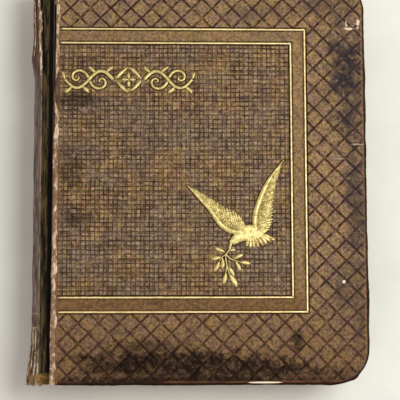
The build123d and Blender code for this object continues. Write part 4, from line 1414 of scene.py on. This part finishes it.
def scroll():
    """A plain ornament: two facing waves with leaves, and a lozenge between them."""
    pile = Pile(gold_rims)
    centre = (scroll_low[:2] + scroll_high[:2]) / 2 + (0.6, 0.0)
    half = (scroll_high[0] - scroll_low[0]) / 2 - 0.8
    wavelength = half - 10.0
    for side in (-1, 1):
        t = np.linspace(0, 1, 80)
        stem = np.stack([side * (9.0 + wavelength * t), 5.0 * np.sin(2 * pi * t)], 1)
        ribbon(pile, centre + stem, 2.1 - 0.5 * t, GILT_BASE, 0.6)
        # A curl springs from the middle of the stem into each of its two bends.
        turn = np.linspace(0, 6.9, 60)
        reach = 0.23 * wavelength * np.exp(-0.30 * turn)
        for bend, way in ((0.25, 1), (0.75, -1)):
            middle = np.array([9.0 + wavelength * bend, -1.1 * way])
            curl = middle + np.stack([way * reach * np.cos(turn), -way * reach * np.sin(turn)], 1)
            ribbon(pile, centre + curl * (side, 1), np.linspace(1.7, 1.0, 60), GILT_BASE, 0.55)
            for root, lean in ((bend - 0.10, -1), (bend + 0.10, 1)):
                start = np.array([9.0 + wavelength * root, 5.0 * sin(2 * pi * root)])
                tip = start + np.array([lean * 4.4, way * 3.8])
                blade(pile, centre + start * (side, 1), centre + tip * (side, 1), 2.5, GILT_BASE, 0.6, 0.5,
                      0.3)
        blade(pile, centre + stem[-1], centre + stem[-1] + (side * 1.4, 4.8), 2.2, GILT_BASE, 0.6, 0.5)
    diamond = [(7.6, 0), (0, 7.6), (-7.6, 0), (0, -7.6)]
    for a, b in zip(diamond, diamond[1:] + diamond[:1]):
        blade(pile, centre + np.array(a), centre + np.array(b), 2.4, GILT_BASE, 0.6, 0.5, -0.5)
        blade(pile, centre, centre + np.array(a) * 0.55, 2.3, GILT_BASE, 0.6, 0.55)
    pile.piece("gold_scroll", gilt, "front_cover", "gilt", "gilt_scroll")


scroll()
# The gold's dark rims: painted shade.
gold_rims.piece("gold_rims_painted_shade", impression_shade, "front_cover", "cover_cloth")


# ---- Floor, lights and camera ----
def stage():
    mesh = bpy.data.meshes.new("floor")
    mesh.from_pydata([(-4, -4, 0), (4, -4, 0), (4, 4, 0), (-4, 4, 0)], [], [(0, 1, 2, 3)])
    mesh.materials.append(floor_material())
    floor = bpy.data.objects.new("floor", mesh)
    floor.location.z = -0.0004
    bpy.context.scene.collection.objects.link(floor)


def lamp(name, place, target, size, power, colour):
    data = bpy.data.lights.new(name, "AREA")
    data.shape = "DISK"
    data.size = size
    data.energy = power
    data.color = colour
    light = bpy.data.objects.new(name, data)
    light.location = place
    light.rotation_euler = (Vector(target) - Vector(place)).to_track_quat("-Z", "Y").to_euler()
    bpy.context.scene.collection.objects.link(light)


stage()
lamp("key", (0.28, 0.05, 0.68), (0.02, 0.0, 0.0), 0.36, 4.1, (0.96, 1.0, 0.96))
lamp("fill", (-0.5, -0.4, 1.2), (0.0, 0.0, 0.0), 1.2, 3.0, (1.0, 0.96, 0.93))

scene = bpy.context.scene
world = bpy.data.worlds.new("studio")
world.use_nodes = True
world.node_tree.nodes["Background"].inputs["Color"].default_value = (0.89, 0.81, 0.80, 1)
world.node_tree.nodes["Background"].inputs["Strength"].default_value = 0.55
scene.world = world
scene.view_settings.view_transform = "Standard"

camera_data = bpy.data.cameras.new("camera")
camera_data.lens = 108.0
camera_data.sensor_width = 36.0
camera = bpy.data.objects.new("camera", camera_data)
camera.location = (-0.0197, -0.0893, 0.7356)
camera.rotation_euler = (radians(6.32), radians(-1.65), radians(-0.14))
scene.collection.objects.link(camera)
scene.camera = camera
